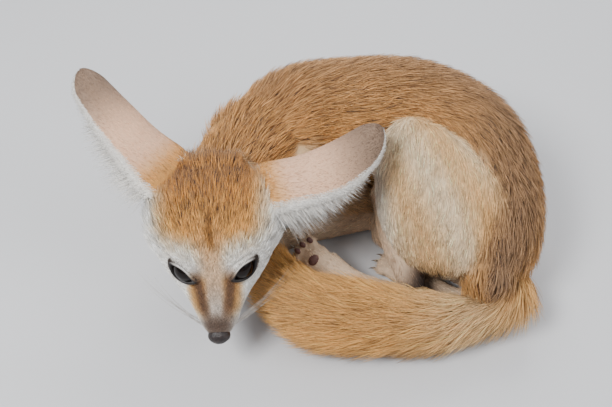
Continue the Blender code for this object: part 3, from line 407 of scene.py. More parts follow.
# %% [markdown]
# ## One skin
#
# The separate forms would show seams where they cross, so they are joined and remeshed on a fine
# grid of small cubes, which melts them into one closed surface, and a few rounds of smoothing take
# the grid's steps away. Each point of the new skin then asks its nearest point on the old forms how
# the hair lies there and what part it is on.

# %% Join, remesh and smooth
VOXEL = 0.00155
SMOOTH_ROUNDS = 5
SKIN_LOWEST = 0.0004


def plain_mesh(name, places, faces):
    """A mesh object of given points and faces, already at its place in the world."""
    mesh = bpy.data.meshes.new(name)
    mesh.from_pydata((np.asarray(places) + SHIFT).tolist(), [], faces)
    made = bpy.data.objects.new(name, mesh)
    bpy.context.scene.collection.objects.link(made)
    return made


def face_out(item):
    """Turn all faces of closed pieces outward."""
    build = bmesh.new()
    build.from_mesh(item.data)
    bmesh.ops.recalc_face_normals(build, faces=build.faces)
    build.to_mesh(item.data)
    build.free()


def read_points(mesh, field="co", items="vertices", width=3):
    """One field of all items of a mesh, as an array."""
    values = np.empty(len(getattr(mesh, items)) * width, dtype=np.float32)
    getattr(mesh, items).foreach_get(field, values)
    return values.reshape(-1, width).astype(float)


start = 0
all_places, all_faces = [], []
for form in forms:
    all_places.append(form["places"])
    all_faces += [[start + k for k in face] for face in form["faces"]]
    start += len(form["places"])
skin = plain_mesh("skin", np.vstack(all_places), all_faces)
face_out(skin)
remesh = skin.modifiers.new("remesh", "REMESH")
remesh.mode = "VOXEL"
remesh.voxel_size = VOXEL
smooth = skin.modifiers.new("smooth", "SMOOTH")
smooth.iterations = SMOOTH_ROUNDS
smooth.factor = 0.5
graph = bpy.context.evaluated_depsgraph_get()
melted = bpy.data.meshes.new_from_object(skin.evaluated_get(graph))
skin.modifiers.clear()
skin.data = melted
points = read_points(melted) - SHIFT
points[:, 2] = np.maximum(points[:, 2], SKIN_LOWEST)
melted.vertices.foreach_set("co", (points + SHIFT).ravel().astype(np.float32))
melted.update()
melted.shade_smooth()
normals = read_points(melted, "vector", "vertex_normals")
edges = read_points(melted, "vertices", "edges", 2).astype(int)
print("skin points:", len(points), "faces:", len(melted.polygons))

# %% Look up the nearest form
TILE_EDGE = 0.06


def in_tile(tiles, numbers):
    """Places on the unwrap: the tile's column and row, plus the two numbers within its edges."""
    corner = np.stack([tiles % TILES, tiles // TILES], axis=-1)
    return (corner + TILE_EDGE + (1 - 2 * TILE_EDGE) * numbers) / TILES


tree = KDTree(start)
owner = np.concatenate([np.full(len(form["places"]), k) for k, form in enumerate(forms)])
form_places = np.vstack([form["places"] for form in forms])
for k, place in enumerate(form_places):
    tree.insert(place, k)
tree.balance()
nearest = np.array([tree.find(place)[1] for place in points])
form_of = owner[nearest]
part_of = np.array([form["part"] for form in forms])[form_of]
lie = np.vstack([form["lie"] for form in forms])[nearest]
numbers = np.vstack([form["numbers"] for form in forms])[nearest]
unwrap = in_tile(form_of, numbers)


def spread_evenly(values, rounds):
    """Each point's values become half its own and half the mean of its neighbours', again and again."""
    values = values.astype(float)
    weight = np.bincount(edges.ravel(), minlength=len(values))[:, None]
    for _ in range(rounds):
        total = np.zeros_like(values)
        for a, b in ((0, 1), (1, 0)):
            for c in range(values.shape[1]):
                total[:, c] += np.bincount(edges[:, a], values[edges[:, b], c], minlength=len(values))
        values = 0.5 * values + 0.5 * total / np.maximum(weight, 1)
    return values


lie = spread_evenly(lie, 14)
lie = unit(lie - (lie * normals).sum(axis=1, keepdims=True) * normals)
print("parts met:", np.bincount(part_of, minlength=len(PARTS)).tolist())

# %% [markdown]
# ## Markings
#
# A fennec is sandy orange on the back with grey and brown hair tips along the spine, cream on the
# haunches, legs and belly, and white on the face, with a rusty crown and a brown stripe from each
# eye down the muzzle. The colour of every point follows from its part, its place along and round it,
# and on the head from its distance to the side, back and up. Skin and coat share these colours.
# Painted shade is worked in as well: the brush turns brown toward the floor, and the hollow between
# the hind leg, its paw and the brush is made nearly black.

# %% Colours of the coat
SAND = np.array((0.80, 0.60, 0.39))
GOLD = np.array((0.84, 0.59, 0.28))
RUST = np.array((0.72, 0.45, 0.14))
CREAM = np.array((0.94, 0.84, 0.69))
WHITE = np.array((0.93, 0.91, 0.88))
ASH = np.array((0.52, 0.42, 0.34))
BROWN = np.array((0.30, 0.20, 0.14))
UMBER = np.array((0.15, 0.10, 0.075))
PINK = np.array((0.82, 0.66, 0.58))
# Centre and reach of a painted shadow: the hollow between the hind leg, its paw and the brush
PAINTED_SHADE_AT = np.array((0.0790, -0.0560, 0.0240))
PAINTED_SHADE_SIZE = 0.0165
# Degrees round the torso at which the spine runs
SPINE_ANGLE = 112


def plain(colour, places):
    """One colour for every point."""
    return np.tile(colour, (len(places), 1))


def mix(base, colour, share):
    """The base colour moved a share of the way to another."""
    return base + (colour - base) * np.clip(share + np.zeros(len(base)), 0, 1)[:, None]


def band(values, centre, half, soft):
    """One inside a band, falling to nothing over a soft edge."""
    return np.clip((half + soft - np.abs(values - centre)) / soft, 0, 1)


def rise_to(values, start, end):
    """A smooth step: three times the square less twice the cube of the share between two values."""
    t = np.clip((values - start) / (end - start), 0, 1)
    return t * t * (3 - 2 * t)


def head_colour(places):
    """White face, rusty crown, tan between the eyes, brown stripes on the sides of the muzzle."""
    side, back, rise = head_numbers(places)
    wide = np.abs(side)
    colour = plain(WHITE, places)
    above = rise_to(rise, -0.004, 0.008)
    brow = rise_to(back - 0.40 * wide, 0.040, 0.052) * band(wide, 0, 0.026, 0.008) * above
    colour = mix(colour, CREAM * 0.88, 0.75 * brow)
    crown = rise_to(back - 0.25 * wide, 0.048, 0.060) * band(wide, 0, 0.021, 0.012) * above
    colour = mix(colour, GOLD, 0.95 * crown)
    rusty = rise_to(back, 0.066, 0.090) * band(wide, 0.010, 0.012, 0.014) * above
    colour = mix(colour, RUST, 0.60 * rusty)
    bridge = band(wide, 0, 0.0040, 0.0060) * band(back, 0.046, 0.012, 0.014) * above
    colour = mix(colour, SAND, 0.62 * bridge)
    muzzle = band(wide, 0, 0.0048, 0.0040) * band(back, 0.016, 0.014, 0.012) * above
    colour = mix(colour, ASH * 1.05, 0.45 * muzzle)
    patch = band(wide, 0.0102, 0.0030, 0.0040) * band(back, 0.0270, 0.0080, 0.0080) * above
    colour = mix(colour, GOLD * 0.86, 0.85 * patch)
    stripe_at = np.interp(back, (0.012, 0.024, 0.038), (0.0062, 0.0078, 0.0100))
    stripe = band(wide, stripe_at, 0.0014, 0.0030) * band(back, 0.0280, 0.0090, 0.0100) * above
    colour = mix(colour, BROWN, 0.80 * stripe)
    streak = band(wide, 0, 0.0010, 0.0016) * band(back, 0.062, 0.006, 0.006) * above
    colour = mix(colour, RUST * 0.62, 0.80 * streak)
    from_nose = np.linalg.norm(places - head_place(0, 0.0034, 0.0012), axis=1)
    snout = rise_to(-from_nose, -0.0175, -0.0080) * above
    colour = mix(colour, BROWN * 0.75, 0.85 * snout)
    nape = rise_to(back, 0.080, 0.096) * (0.35 + 0.65 * above)
    return mix(colour, 0.5 * SAND + 0.5 * RUST, 0.95 * nape)


def body_colour(places, part, numbers):
    """Each part's own colour, with the spine, belly, rump and brush worked in, and painted shade under the
    brush and in the hollow by the hind leg.
    """
    along, around = numbers[:, 0], numbers[:, 1] * 360
    colour = plain(SAND, places)
    torso = part == PARTS.index("torso")
    spine = np.exp(-((around - SPINE_ANGLE) / 46.0) ** 2)
    grey = spine * np.interp(along, (0.0, 0.3, 0.6, 1.0), (0.05, 0.18, 0.42, 0.62))
    flank = mix(colour, GOLD * 1.02, 0.5 * (1 - spine))
    colour = np.where(torso[:, None], mix(flank, ASH, grey), colour)
    low = torso * rise_to(-places[:, 2], -0.034, -0.008)
    colour = mix(colour, CREAM, 0.75 * low)
    neck = part == PARTS.index("neck")
    colour = np.where(neck[:, None], mix(plain(SAND, places), GOLD, 0.4), colour)
    colour = mix(colour, CREAM, neck * rise_to(-places[:, 2], -0.066, -0.040))
    thigh = part == PARTS.index("thigh")
    warm = 0.5 + 0.5 * np.sin(places[:, 0] * 160 + places[:, 1] * 90)
    rear = rise_to(places[:, 0], 0.095, 0.135)
    haunch = mix(plain(CREAM, places), GOLD, 0.42 * warm + 0.55 * rear)
    haunch = mix(haunch, WHITE, 0.75 * rise_to(-places[:, 0], -0.060, -0.044))
    colour = np.where(thigh[:, None], haunch, colour)
    arm = part == PARTS.index("upper_arm")
    colour = np.where(arm[:, None], mix(plain(SAND, places), CREAM, 0.6), colour)
    leg = (part == PARTS.index("leg")) | (part == PARTS.index("paw"))
    colour = np.where(leg[:, None], mix(plain(CREAM, places), PINK, 0.35), colour)
    tail = part == PARTS.index("tail")
    pale_ring = np.exp(-((along - 0.25) / 0.16) ** 2)
    brush = mix(plain(GOLD, places), CREAM, 0.22 + 0.40 * pale_ring)
    # Painted shade under the brush: its fur turns brown toward the floor, by height alone
    brush = mix(brush, BROWN, 0.70 * rise_to(-places[:, 2], -0.018, -0.002))
    brush = mix(brush, UMBER, rise_to(along, 0.84, 0.95))
    colour = np.where(tail[:, None], brush, colour)
    # Painted shade: the hollow between the hind leg, its paw and the brush is made nearly black, the brush
    # itself left out
    hollow = np.exp(-(np.linalg.norm(places - PAINTED_SHADE_AT, axis=1) / PAINTED_SHADE_SIZE) ** 4)
    return mix(colour, UMBER, 0.95 * hollow * ~tail)


colours = body_colour(points, part_of, numbers)
on_head = part_of == 0
colours = spread_evenly(colours, 8)
face = head_colour(points)
blend = spread_evenly(on_head.astype(float)[:, None], 6)
sharp = rise_to(-head_numbers(points)[1], -0.085, -0.070) * on_head
colours = colours * (1 - blend) + face * blend
colours = colours * (1 - sharp[:, None]) + face * sharp[:, None]
print("mean coat colour:", colours.mean(axis=0).round(3).tolist())

# %% [markdown]
# ## Coat measures
#
# Length, lift, width and spacing of the tufts change from part to part: a few millimetres on the
# paws and muzzle, one to two centimetres on the body, and nearly three on the brush.

# %% Measures per part
# Length, lift from the skin in radians, width, closeness
COAT = {
    "head": (0.0100, 0.30, 0.00034, 1.9), "neck": (0.0190, 0.50, 0.00046, 1.10),
    "torso": (0.0170, 0.42, 0.00046, 1.0), "thigh": (0.0100, 0.26, 0.00042, 1.35),
    "leg": (0.0065, 0.30, 0.00034, 1.5), "upper_arm": (0.0130, 0.36, 0.00042, 1.0),
    "paw": (0.0042, 0.26, 0.00030, 1.9), "tail": (0.0290, 0.54, 0.00044, 1.5),
}
BARE_ROUND_NOSE = 0.0070
SHORT_ROUND_EYE = 0.0024
measures = np.array([COAT[name] for name in PARTS])[part_of]
side, back, rise = head_numbers(points)
face_length = np.interp(back, (0.0, 0.012, 0.030, 0.050, 0.066, 0.085, 0.110),
                        (0.0012, 0.0022, 0.0036, 0.0058, 0.0095, 0.0145, 0.0180))
cheek = rise_to(np.abs(side), 0.024, 0.034) * band(back, 0.072, 0.014, 0.010)
measures[on_head, 0] = (face_length + 0.0050 * cheek)[on_head]
measures[on_head, 2] = np.interp(back, (0.0, 0.03, 0.07), (0.00026, 0.00034, 0.00046))[on_head]
measures[on_head, 3] = np.interp(back, (0.0, 0.02, 0.05, 0.08), (3.6, 3.0, 2.0, 1.3))[on_head]
measures[on_head, 1] = (np.interp(back, (0.0, 0.03, 0.06), (0.24, 0.30, 0.38)) + 0.30 * cheek)[on_head]
measures = spread_evenly(measures, 6)
for eye_side in (1, -1):
    outward, along_eye, across_eye = eye_axes(eye_side)
    away = points - eye_centre(eye_side)
    near = np.sqrt(((away @ along_eye) / 0.0118) ** 2 + ((away @ across_eye) / 0.0082) ** 2)
    front = (away @ outward > 0) & (np.linalg.norm(away, axis=1) < 0.02)
    measures[:, 3] *= np.where(front & (near < 0.86), 0.0, 1.0)
    measures[:, 0] = np.where(front & (near < 1.35), np.minimum(measures[:, 0], SHORT_ROUND_EYE),
                              measures[:, 0])
nose_near = np.linalg.norm(points - head_place(0, 0.0020, 0.0010), axis=1)
measures[:, 3] *= nose_near > BARE_ROUND_NOSE
measures[:, 3] *= np.where((points[:, 2] < 0.0022) & (normals[:, 2] < -0.4), 0.10, 1.0)
print("tuft length from", measures[:, 0].min().round(4), "to", measures[:, 0].max().round(4))

# %% [markdown]
# ## Tufts
#
# Particle hair would be lost when the model is exported, so the coat is real mesh. One tuft is a
# slim three-sided blade, rooted a little under the skin, that leans over along the lie of the coat
# and ends in a point. All tufts of a piece are worked out at once as arrays: root plus lean times
# the share of the length, plus the skin's normal times a rise that flattens toward the tip, plus a
# small bend to the side.

# %% A coat from roots
TUFT_LIMIT = 195000
UV_PATCH = 0.0030
FLOOR_GAP = 0.0003
ROOT_DEPTH = 0.0007
TUFT_DROOP = 0.45
TUFT_FLATNESS = 0.55
# Shares of the length at which long and short tufts have their rings
LONG_TUFT = (0.0, 0.36, 0.74)
SHORT_TUFT = (0.0, 0.5)
RING_GIRTH = (0.75, 1.0, 0.62)
SCREEN_GAMMA = 2.2
coat_pieces = []


def store_colours(mesh, colour):
    """Store a colour for each point of a mesh, turned from screen values to amounts of light."""
    attribute = mesh.color_attributes.new("coat", "FLOAT_COLOR", "POINT")
    full = np.ones((len(colour), 4), dtype=np.float32)
    full[:, :3] = np.clip(colour, 0, 1) ** SCREEN_GAMMA
    attribute.data.foreach_set("color", full.ravel())


def triangle_mesh(name, places, triangles, colour, uv):
    """A smooth triangle mesh with a colour per point and an OFBake place per corner."""
    mesh = bpy.data.meshes.new(name)
    mesh.vertices.add(len(places))
    mesh.vertices.foreach_set("co", (places + SHIFT).ravel().astype(np.float32))
    mesh.loops.add(triangles.size)
    mesh.loops.foreach_set("vertex_index", triangles.ravel().astype(np.int32))
    mesh.polygons.add(len(triangles))
    mesh.polygons.foreach_set("loop_start", np.arange(0, triangles.size, 3, dtype=np.int32))
    mesh.polygons.foreach_set("use_smooth", np.ones(len(triangles), dtype=bool))
    store_colours(mesh, colour)
    layer = mesh.uv_layers.new(name="OFBake")
    layer.data.foreach_set("uv", uv[triangles.ravel()].ravel().astype(np.float32))
    mesh.update(calc_edges=True)
    made = bpy.data.objects.new(name, mesh)
    bpy.context.scene.collection.objects.link(made)
    return made


def tuft_arrays(root, normal, lean, length, width, lift, colour, dark, uv, shares):
    """Points, triangles, colours and patch places of many tufts at once."""
    count = len(root)
    side = unit(np.cross(normal, lean))
    bend = DRAW.normal(0, 0.06, count)[:, None]
    steps = np.array(shares + (1.0,))
    sunk = np.minimum(ROOT_DEPTH, 0.08 * length)[:, None, None]
    arch = (steps - TUFT_DROOP * steps ** 2)[None, :, None]
    centre = (root[:, None] - normal[:, None] * sunk
              + lean[:, None] * (length * np.cos(lift))[:, None, None] * steps[None, :, None]
              + normal[:, None] * (length * np.sin(lift))[:, None, None] * arch
              + side[:, None] * (bend * length[:, None] * steps[None, :] ** 2)[..., None])
    angles = np.radians((90, 210, 330))
    girth = np.array(RING_GIRTH[:len(shares)])[None, :, None, None]
    across = side[:, None, None] * np.cos(angles)[None, None, :, None]
    outward = normal[:, None, None] * (TUFT_FLATNESS * np.sin(angles))[None, None, :, None]
    ring = centre[:, :-1, None] + (across + outward) * girth * (0.5 * width)[:, None, None, None]
    rings = len(shares)
    places = np.concatenate([ring.reshape(count, rings * 3, 3), centre[:, -1:]], axis=1)
    pattern = [(0, 2, 1)]
    for r in range(rings - 1):
        for k in range(3):
            a, b = r * 3 + k, r * 3 + (k + 1) % 3
            pattern += [(a, b, b + 3), (a, b + 3, a + 3)]
    for k in range(3):
        pattern.append(((rings - 1) * 3 + k, (rings - 1) * 3 + (k + 1) % 3, rings * 3))
    places[..., 2] = np.maximum(places[..., 2], FLOOR_GAP)
    each = rings * 3 + 1
    triangles = np.array(pattern)[None] + (np.arange(count) * each)[:, None, None]
    share = np.concatenate([np.repeat(steps[:-1], 3), [1.0]])
    # Painted shade along each tuft: 0.80 of its colour at the root, where the coat shades itself, full
    # colour a third of the way up and 1.06 at the tip
    painted_root_shade = np.interp(share, (0, 0.35, 1.0), (0.80, 1.0, 1.06))[None, :, None]
    tint = colour[:, None] * painted_root_shade
    tip = rise_to(share, 0.55, 0.95)[None, :, None] * dark[:, None, None]
    tint = tint * (1 - tip) + UMBER * 1.6 * tip
    corner = np.concatenate([np.tile((-0.5, 0.0, 0.5), rings), [0.0]])
    local = np.stack([corner, share - 0.5], axis=-1)[None] * UV_PATCH
    patch = uv[:, None] + local
    return places.reshape(-1, 3), triangles.reshape(-1, 3), tint.reshape(-1, 3), patch.reshape(-1, 2)


def lay_coat(name, slot, shares, **tufts):
    """Split many tufts into coat pieces that each stay under the triangle limit."""
    per_tuft = 1 + 6 * (len(shares) - 1) + 3
    most = TUFT_LIMIT // per_tuft
    uv = tufts["uv"]
    order = np.argsort(uv[:, 0] + 10 * np.round(uv[:, 1] * TILES))
    for k in range(0, len(order), most):
        chosen = order[k:k + most]
        some = {key: values[chosen] for key, values in tufts.items()}
        piece = triangle_mesh(f"{name}_{k // most + 1}", *tuft_arrays(shares=shares, **some))
        coat_pieces.append((piece, slot))
        print(piece.name, len(chosen), "tufts")


def wander(places, size, seed):
    """A slow wave in all directions, from a few sines of the place divided by a size."""
    turn = np.random.default_rng(seed).normal(0, 1.0, (4, 3))
    return sum(np.sin(places @ row * (2 * np.pi / size) + 1.7 * k) for k, row in enumerate(turn)) / 2.4

# %% Scatter roots over the skin
melted.calc_loop_triangles()
corners = read_points(melted, "vertices", "loop_triangles").astype(int)
edge_a = points[corners[:, 1]] - points[corners[:, 0]]
edge_b = points[corners[:, 2]] - points[corners[:, 0]]
area = 0.5 * np.linalg.norm(np.cross(edge_a, edge_b), axis=1)
print("skin area in square metres:", area.sum().round(4))
closeness = measures[corners, 3].mean(axis=1)


def scatter(chance, count):
    """Random places on triangles, drawn by area and closeness, with values mixed between corners."""
    picked = DRAW.choice(len(chance), size=count, p=chance / chance.sum())
    a, b = DRAW.random(count), DRAW.random(count)
    flip = a + b > 1
    a, b = np.where(flip, 1 - a, a), np.where(flip, 1 - b, b)
    weights = np.stack([1 - a - b, a, b], axis=-1)[..., None]
    near = corners[picked, weights[..., 0].argmax(axis=1)]

    def between(values):
        return (values[corners[picked]] * weights).sum(axis=1)

    root, normal, lean = between(points), unit(between(normals)), unit(between(lie))
    return root, normal, lean, between(colours), between(measures), near


def coat_over(name, slot, chance, count, shares):
    """One layer of the coat on part of the skin."""
    root, normal, lean, colour, sizes, near = scatter(chance, count)
    side = np.cross(normal, lean)
    sway = 0.20 * wander(root, 0.030, 3) + DRAW.normal(0, 0.11, count)
    lean = unit(lean + side * sway[:, None])
    part = part_of[near]
    clump = wander(root, 0.012, 8)
    length = sizes[:, 0] * DRAW.uniform(0.72, 1.12, count) * (1 + 0.08 * clump)
    lift = sizes[:, 1] * np.clip(1 + 0.10 * clump + DRAW.normal(0, 0.16, count), 0.4, 1.7)
    width = sizes[:, 2] * DRAW.uniform(0.8, 1.25, count)
    uneven = np.where(part == 0, 0.115, 0.095)
    colour = colour * (0.97 + 0.06 * clump + DRAW.normal(0, 1, count) * uneven)[:, None]
    back = np.isin(part, [PARTS.index("torso"), PARTS.index("neck")])
    numbers_here = numbers[near]
    spine = np.exp(-((numbers_here[:, 1] * 360 - SPINE_ANGLE) / 55.0) ** 2)
    chance_dark = np.where(back, 0.10 + 0.34 * spine * rise_to(numbers_here[:, 0], 0.1, 0.8), 0.0)
    # Painted shade under the brush: tufts near the floor get more dark tips
    lower = rise_to(-root[:, 2], -0.03, -0.008)
    chance_dark = np.where(part == PARTS.index("tail"), 0.10 + 0.25 * lower, chance_dark)
    head_side, head_back, head_rise = head_numbers(root)
    crown = (part == 0) * (head_rise > 0) * rise_to(head_back, 0.060, 0.072)
    crown = crown * band(np.abs(head_side), 0, 0.016, 0.010)
    chance_dark = np.where(part == 0, 0.50 * crown, chance_dark)
    dark = (DRAW.random(count) < chance_dark) * DRAW.uniform(0.45, 0.95, count)
    ticking = np.where(part == 0, 0.13 * crown, np.where(back, 0.03 + 0.06 * spine, 0.0))
    colour = np.where((DRAW.random(count) < ticking)[:, None], UMBER * 1.5, colour)
    uv = unwrap[near] + DRAW.uniform(-0.0012, 0.0012, (count, 2))
    lay_coat(name, slot, shares, root=root, normal=normal, lean=lean, length=length, width=width,
             lift=lift, colour=colour, dark=dark, uv=uv)


part_here = part_of[corners[:, 0]]
head_chance = area * closeness * (part_here == 0)
tail_chance = area * closeness * (part_here == PARTS.index("tail"))
small = np.isin(part_here, [PARTS.index("leg"), PARTS.index("paw")])
small_chance = area * closeness * small
body_chance = area * closeness - head_chance - tail_chance - small_chance
coat_over("face_coat", "coat_pale", head_chance, 44000, SHORT_TUFT)
coat_over("leg_coat", "coat_pale", small_chance, 14000, SHORT_TUFT)
coat_over("brush_coat", "coat_tail", tail_chance, 21000, LONG_TUFT)
coat_over("body_coat", "coat_back", body_chance, 46000, LONG_TUFT)

# %% [markdown]
# ## Ears
#
# A fennec's ear is a thin cup as long as its head. Its outer face carries very short fur, pink skin
# glows through it, and a white rim of longer hair runs round the edge. The cup is a grid of two
# numbers, the share from base to tip and the way across from rim to rim, and the inner face is the
# same grid set in by the thickness of the wall.

# %% Ear surface
EAR_TOWARD_VIEW = np.array((0.0, -0.643, 0.766))
EARS = {
    "right_ear": dict(base=(-0.0815, -0.0190, 0.0860), tip=(-0.1345, 0.0198, 0.1400),
                      opens=(-0.768, -0.490, -0.411), twist=(4.0, -32.0), bow=0.004, fringe_side=-1,
                      rim=[(0.00, 0.0155), (0.15, 0.0135), (0.35, 0.0080), (0.55, 0.0048), (0.75, 0.0035),
                           (0.90, 0.0035), (1.00, 0.0030)]),
    "left_ear": dict(base=(-0.0265, -0.0250, 0.0800), tip=(0.0456, -0.0038, 0.1150),
                     opens=(0.444, -0.686, -0.576), twist=(10.0, -52.0), bow=0.006, fringe_side=1,
                     rim=[(0.00, 0.0150), (0.15, 0.0146), (0.35, 0.0127), (0.55, 0.0108), (0.75, 0.0080),
                          (0.90, 0.0060), (1.00, 0.0050)]),
}
# Share of the length, how far the back of the cup lies behind the axis, half opening
EAR_PROFILE = [(0.00, 0.0184, 0.0200), (0.15, 0.0182, 0.0240), (0.35, 0.0158, 0.0260),
               (0.55, 0.0138, 0.0240),
               (0.75, 0.0106, 0.0184), (0.90, 0.0078, 0.0140), (1.00, 0.0064, 0.0112)]
EAR_WALL = 0.0011
EAR_ROWS = 90
EAR_COLUMNS = 72
EAR_SKIN = 0.0003
EAR_TURN = math.radians(93)
# Share of the length from which the tip rounds off, and over how much
EAR_ROUND_FROM, EAR_ROUND_OVER = 0.84, 0.1635
EAR_PINK = np.array((0.86, 0.68, 0.55))
EAR_INNER = np.array((0.86, 0.74, 0.70))


def ear_places(spec, share, across, inset):
    """Base plus axis times share, opened by half the opening times the sine of the turn across, and
    deepened behind by the depth times its cosine; both shrink as a circle's arc does at the tip."""
    rows = smooth_rows(EAR_PROFILE, 8)
    round_off = np.sqrt(1 - np.clip((share - EAR_ROUND_FROM) / EAR_ROUND_OVER, 0, 1) ** 2)
    ahead = np.interp(share, *zip(*spec["rim"])) * round_off
    depth = np.interp(share, rows[:, 0], rows[:, 1]) * round_off + ahead - inset
    half = np.interp(share, rows[:, 0], rows[:, 2]) * round_off - inset
    base, tip = np.array(spec["base"]), np.array(spec["tip"])
    axis = unit(tip - base)
    opens = np.array(spec["opens"])
    opens = unit(opens - opens.dot(axis) * axis)
    toward = EAR_TOWARD_VIEW - EAR_TOWARD_VIEW.dot(axis) * axis
    toward = unit(toward - toward.dot(opens) * opens)
    start, end = spec["twist"]
    turn = np.radians(start + (end - start) * share ** 1.6)[..., None]
    opening = opens * np.cos(turn) + toward * np.sin(turn)
    side = np.cross(axis, opening)
    reach = np.linalg.norm(tip - base) * share[..., None]
    middle = base + axis * reach + opening * (ahead + spec["bow"] * np.sin(np.pi * share))[..., None]
    bend = across * EAR_TURN
    return (middle + side * (half * np.sin(bend))[..., None]
            - opening * (depth * np.cos(bend))[..., None])


def ear_frame(spec, share, across, inset):
    """Place, outward normal and the way to the tip, from small steps along the two numbers."""
    here = ear_places(spec, share, across, inset)
    step = 0.01
    up = ear_places(spec, share + step, across, inset) - ear_places(spec, share - step, across, inset)
    over = ear_places(spec, share, across + step, inset) - ear_places(spec, share, across - step, inset)
    up, over = unit(up), unit(over)
    normal = unit(np.cross(over, up))
    outward = here - ear_places(spec, share, 0 * across, inset + 0.02)
    return here, normal * np.sign((normal * outward).sum(axis=-1, keepdims=True)), up


def shell_faces(rows, columns):
    """Quads of two layers of a grid, and a strip that closes them round the edge."""
    layer = (rows + 1) * (columns + 1)
    r, c = np.meshgrid(np.arange(rows), np.arange(columns), indexing="ij")
    a = (r * (columns + 1) + c).ravel()
    outer = np.stack([a, a + 1, a + columns + 2, a + columns + 1], axis=-1)
    inner = outer[:, ::-1] + layer
    loop = np.concatenate([np.arange(columns + 1), np.arange(1, rows + 1) * (columns + 1) + columns,
                           rows * (columns + 1) + np.arange(columns - 1, -1, -1),
                           np.arange(rows - 1, 0, -1) * (columns + 1)])
    ahead = np.roll(loop, -1)
    edge = np.stack([loop, loop + layer, ahead + layer, ahead], axis=-1)
    return np.vstack([outer, inner, edge]).tolist()


def ear_colour(share, across, inner):
    """Sandy at the base, pinkish tan in the middle, grey brown at the tip, white along the rim."""
    flat_share = share.ravel()
    wide = np.abs(across).ravel()
    if inner:
        return mix(plain(EAR_INNER, wide), WHITE, rise_to(wide, 0.55, 0.85))
    colour = mix(plain(EAR_PINK, wide), GOLD * 0.92, 0.85 * rise_to(-flat_share, -0.30, -0.06))
    colour = mix(colour, ASH * 0.88, 0.90 * rise_to(flat_share, 0.45, 0.88))
    return mix(colour, WHITE, rise_to(wide, 0.90, 0.96))


def smooth_piece(name, places, faces):
    """A smooth mesh object with its faces turned outward."""
    made = plain_mesh(name, places, faces)
    face_out(made)
    made.data.shade_smooth()
    return made


ear_objects = {}
for name, spec in EARS.items():
    share, across = np.meshgrid(np.linspace(0, 1, EAR_ROWS + 1), np.linspace(-1, 1, EAR_COLUMNS + 1),
                                indexing="ij")
    thin = np.minimum(EAR_WALL, 0.45 * np.interp(share, (0, 0.97, 1), (0.02, 0.005, 0.0016)))
    layers = [ear_places(spec, share, across, EAR_SKIN + 0 * share),
              ear_places(spec, share, across, EAR_SKIN + thin)]
    ear = smooth_piece(name + "_shell", np.concatenate([layer.reshape(-1, 3) for layer in layers]),
                       shell_faces(EAR_ROWS, EAR_COLUMNS))
    store_colours(ear.data, np.vstack([ear_colour(share, across, inside) for inside in (False, True)]))
    ear_objects[name] = ear
    print(ear.name, len(ear.data.polygons), "faces")

# %% Fur of the ears
EAR_TILES = {"right_ear": 34, "left_ear": 35}
EAR_FUR, EAR_RIM, EAR_INSIDE = 9000, 8000, 6500


def ear_uv(name, share, across):
    """The ear's own tile of the unwrap, with the share and the way across as its numbers."""
    return in_tile(np.array(EAR_TILES[name]), np.stack([share, 0.5 + 0.5 * across], axis=-1))


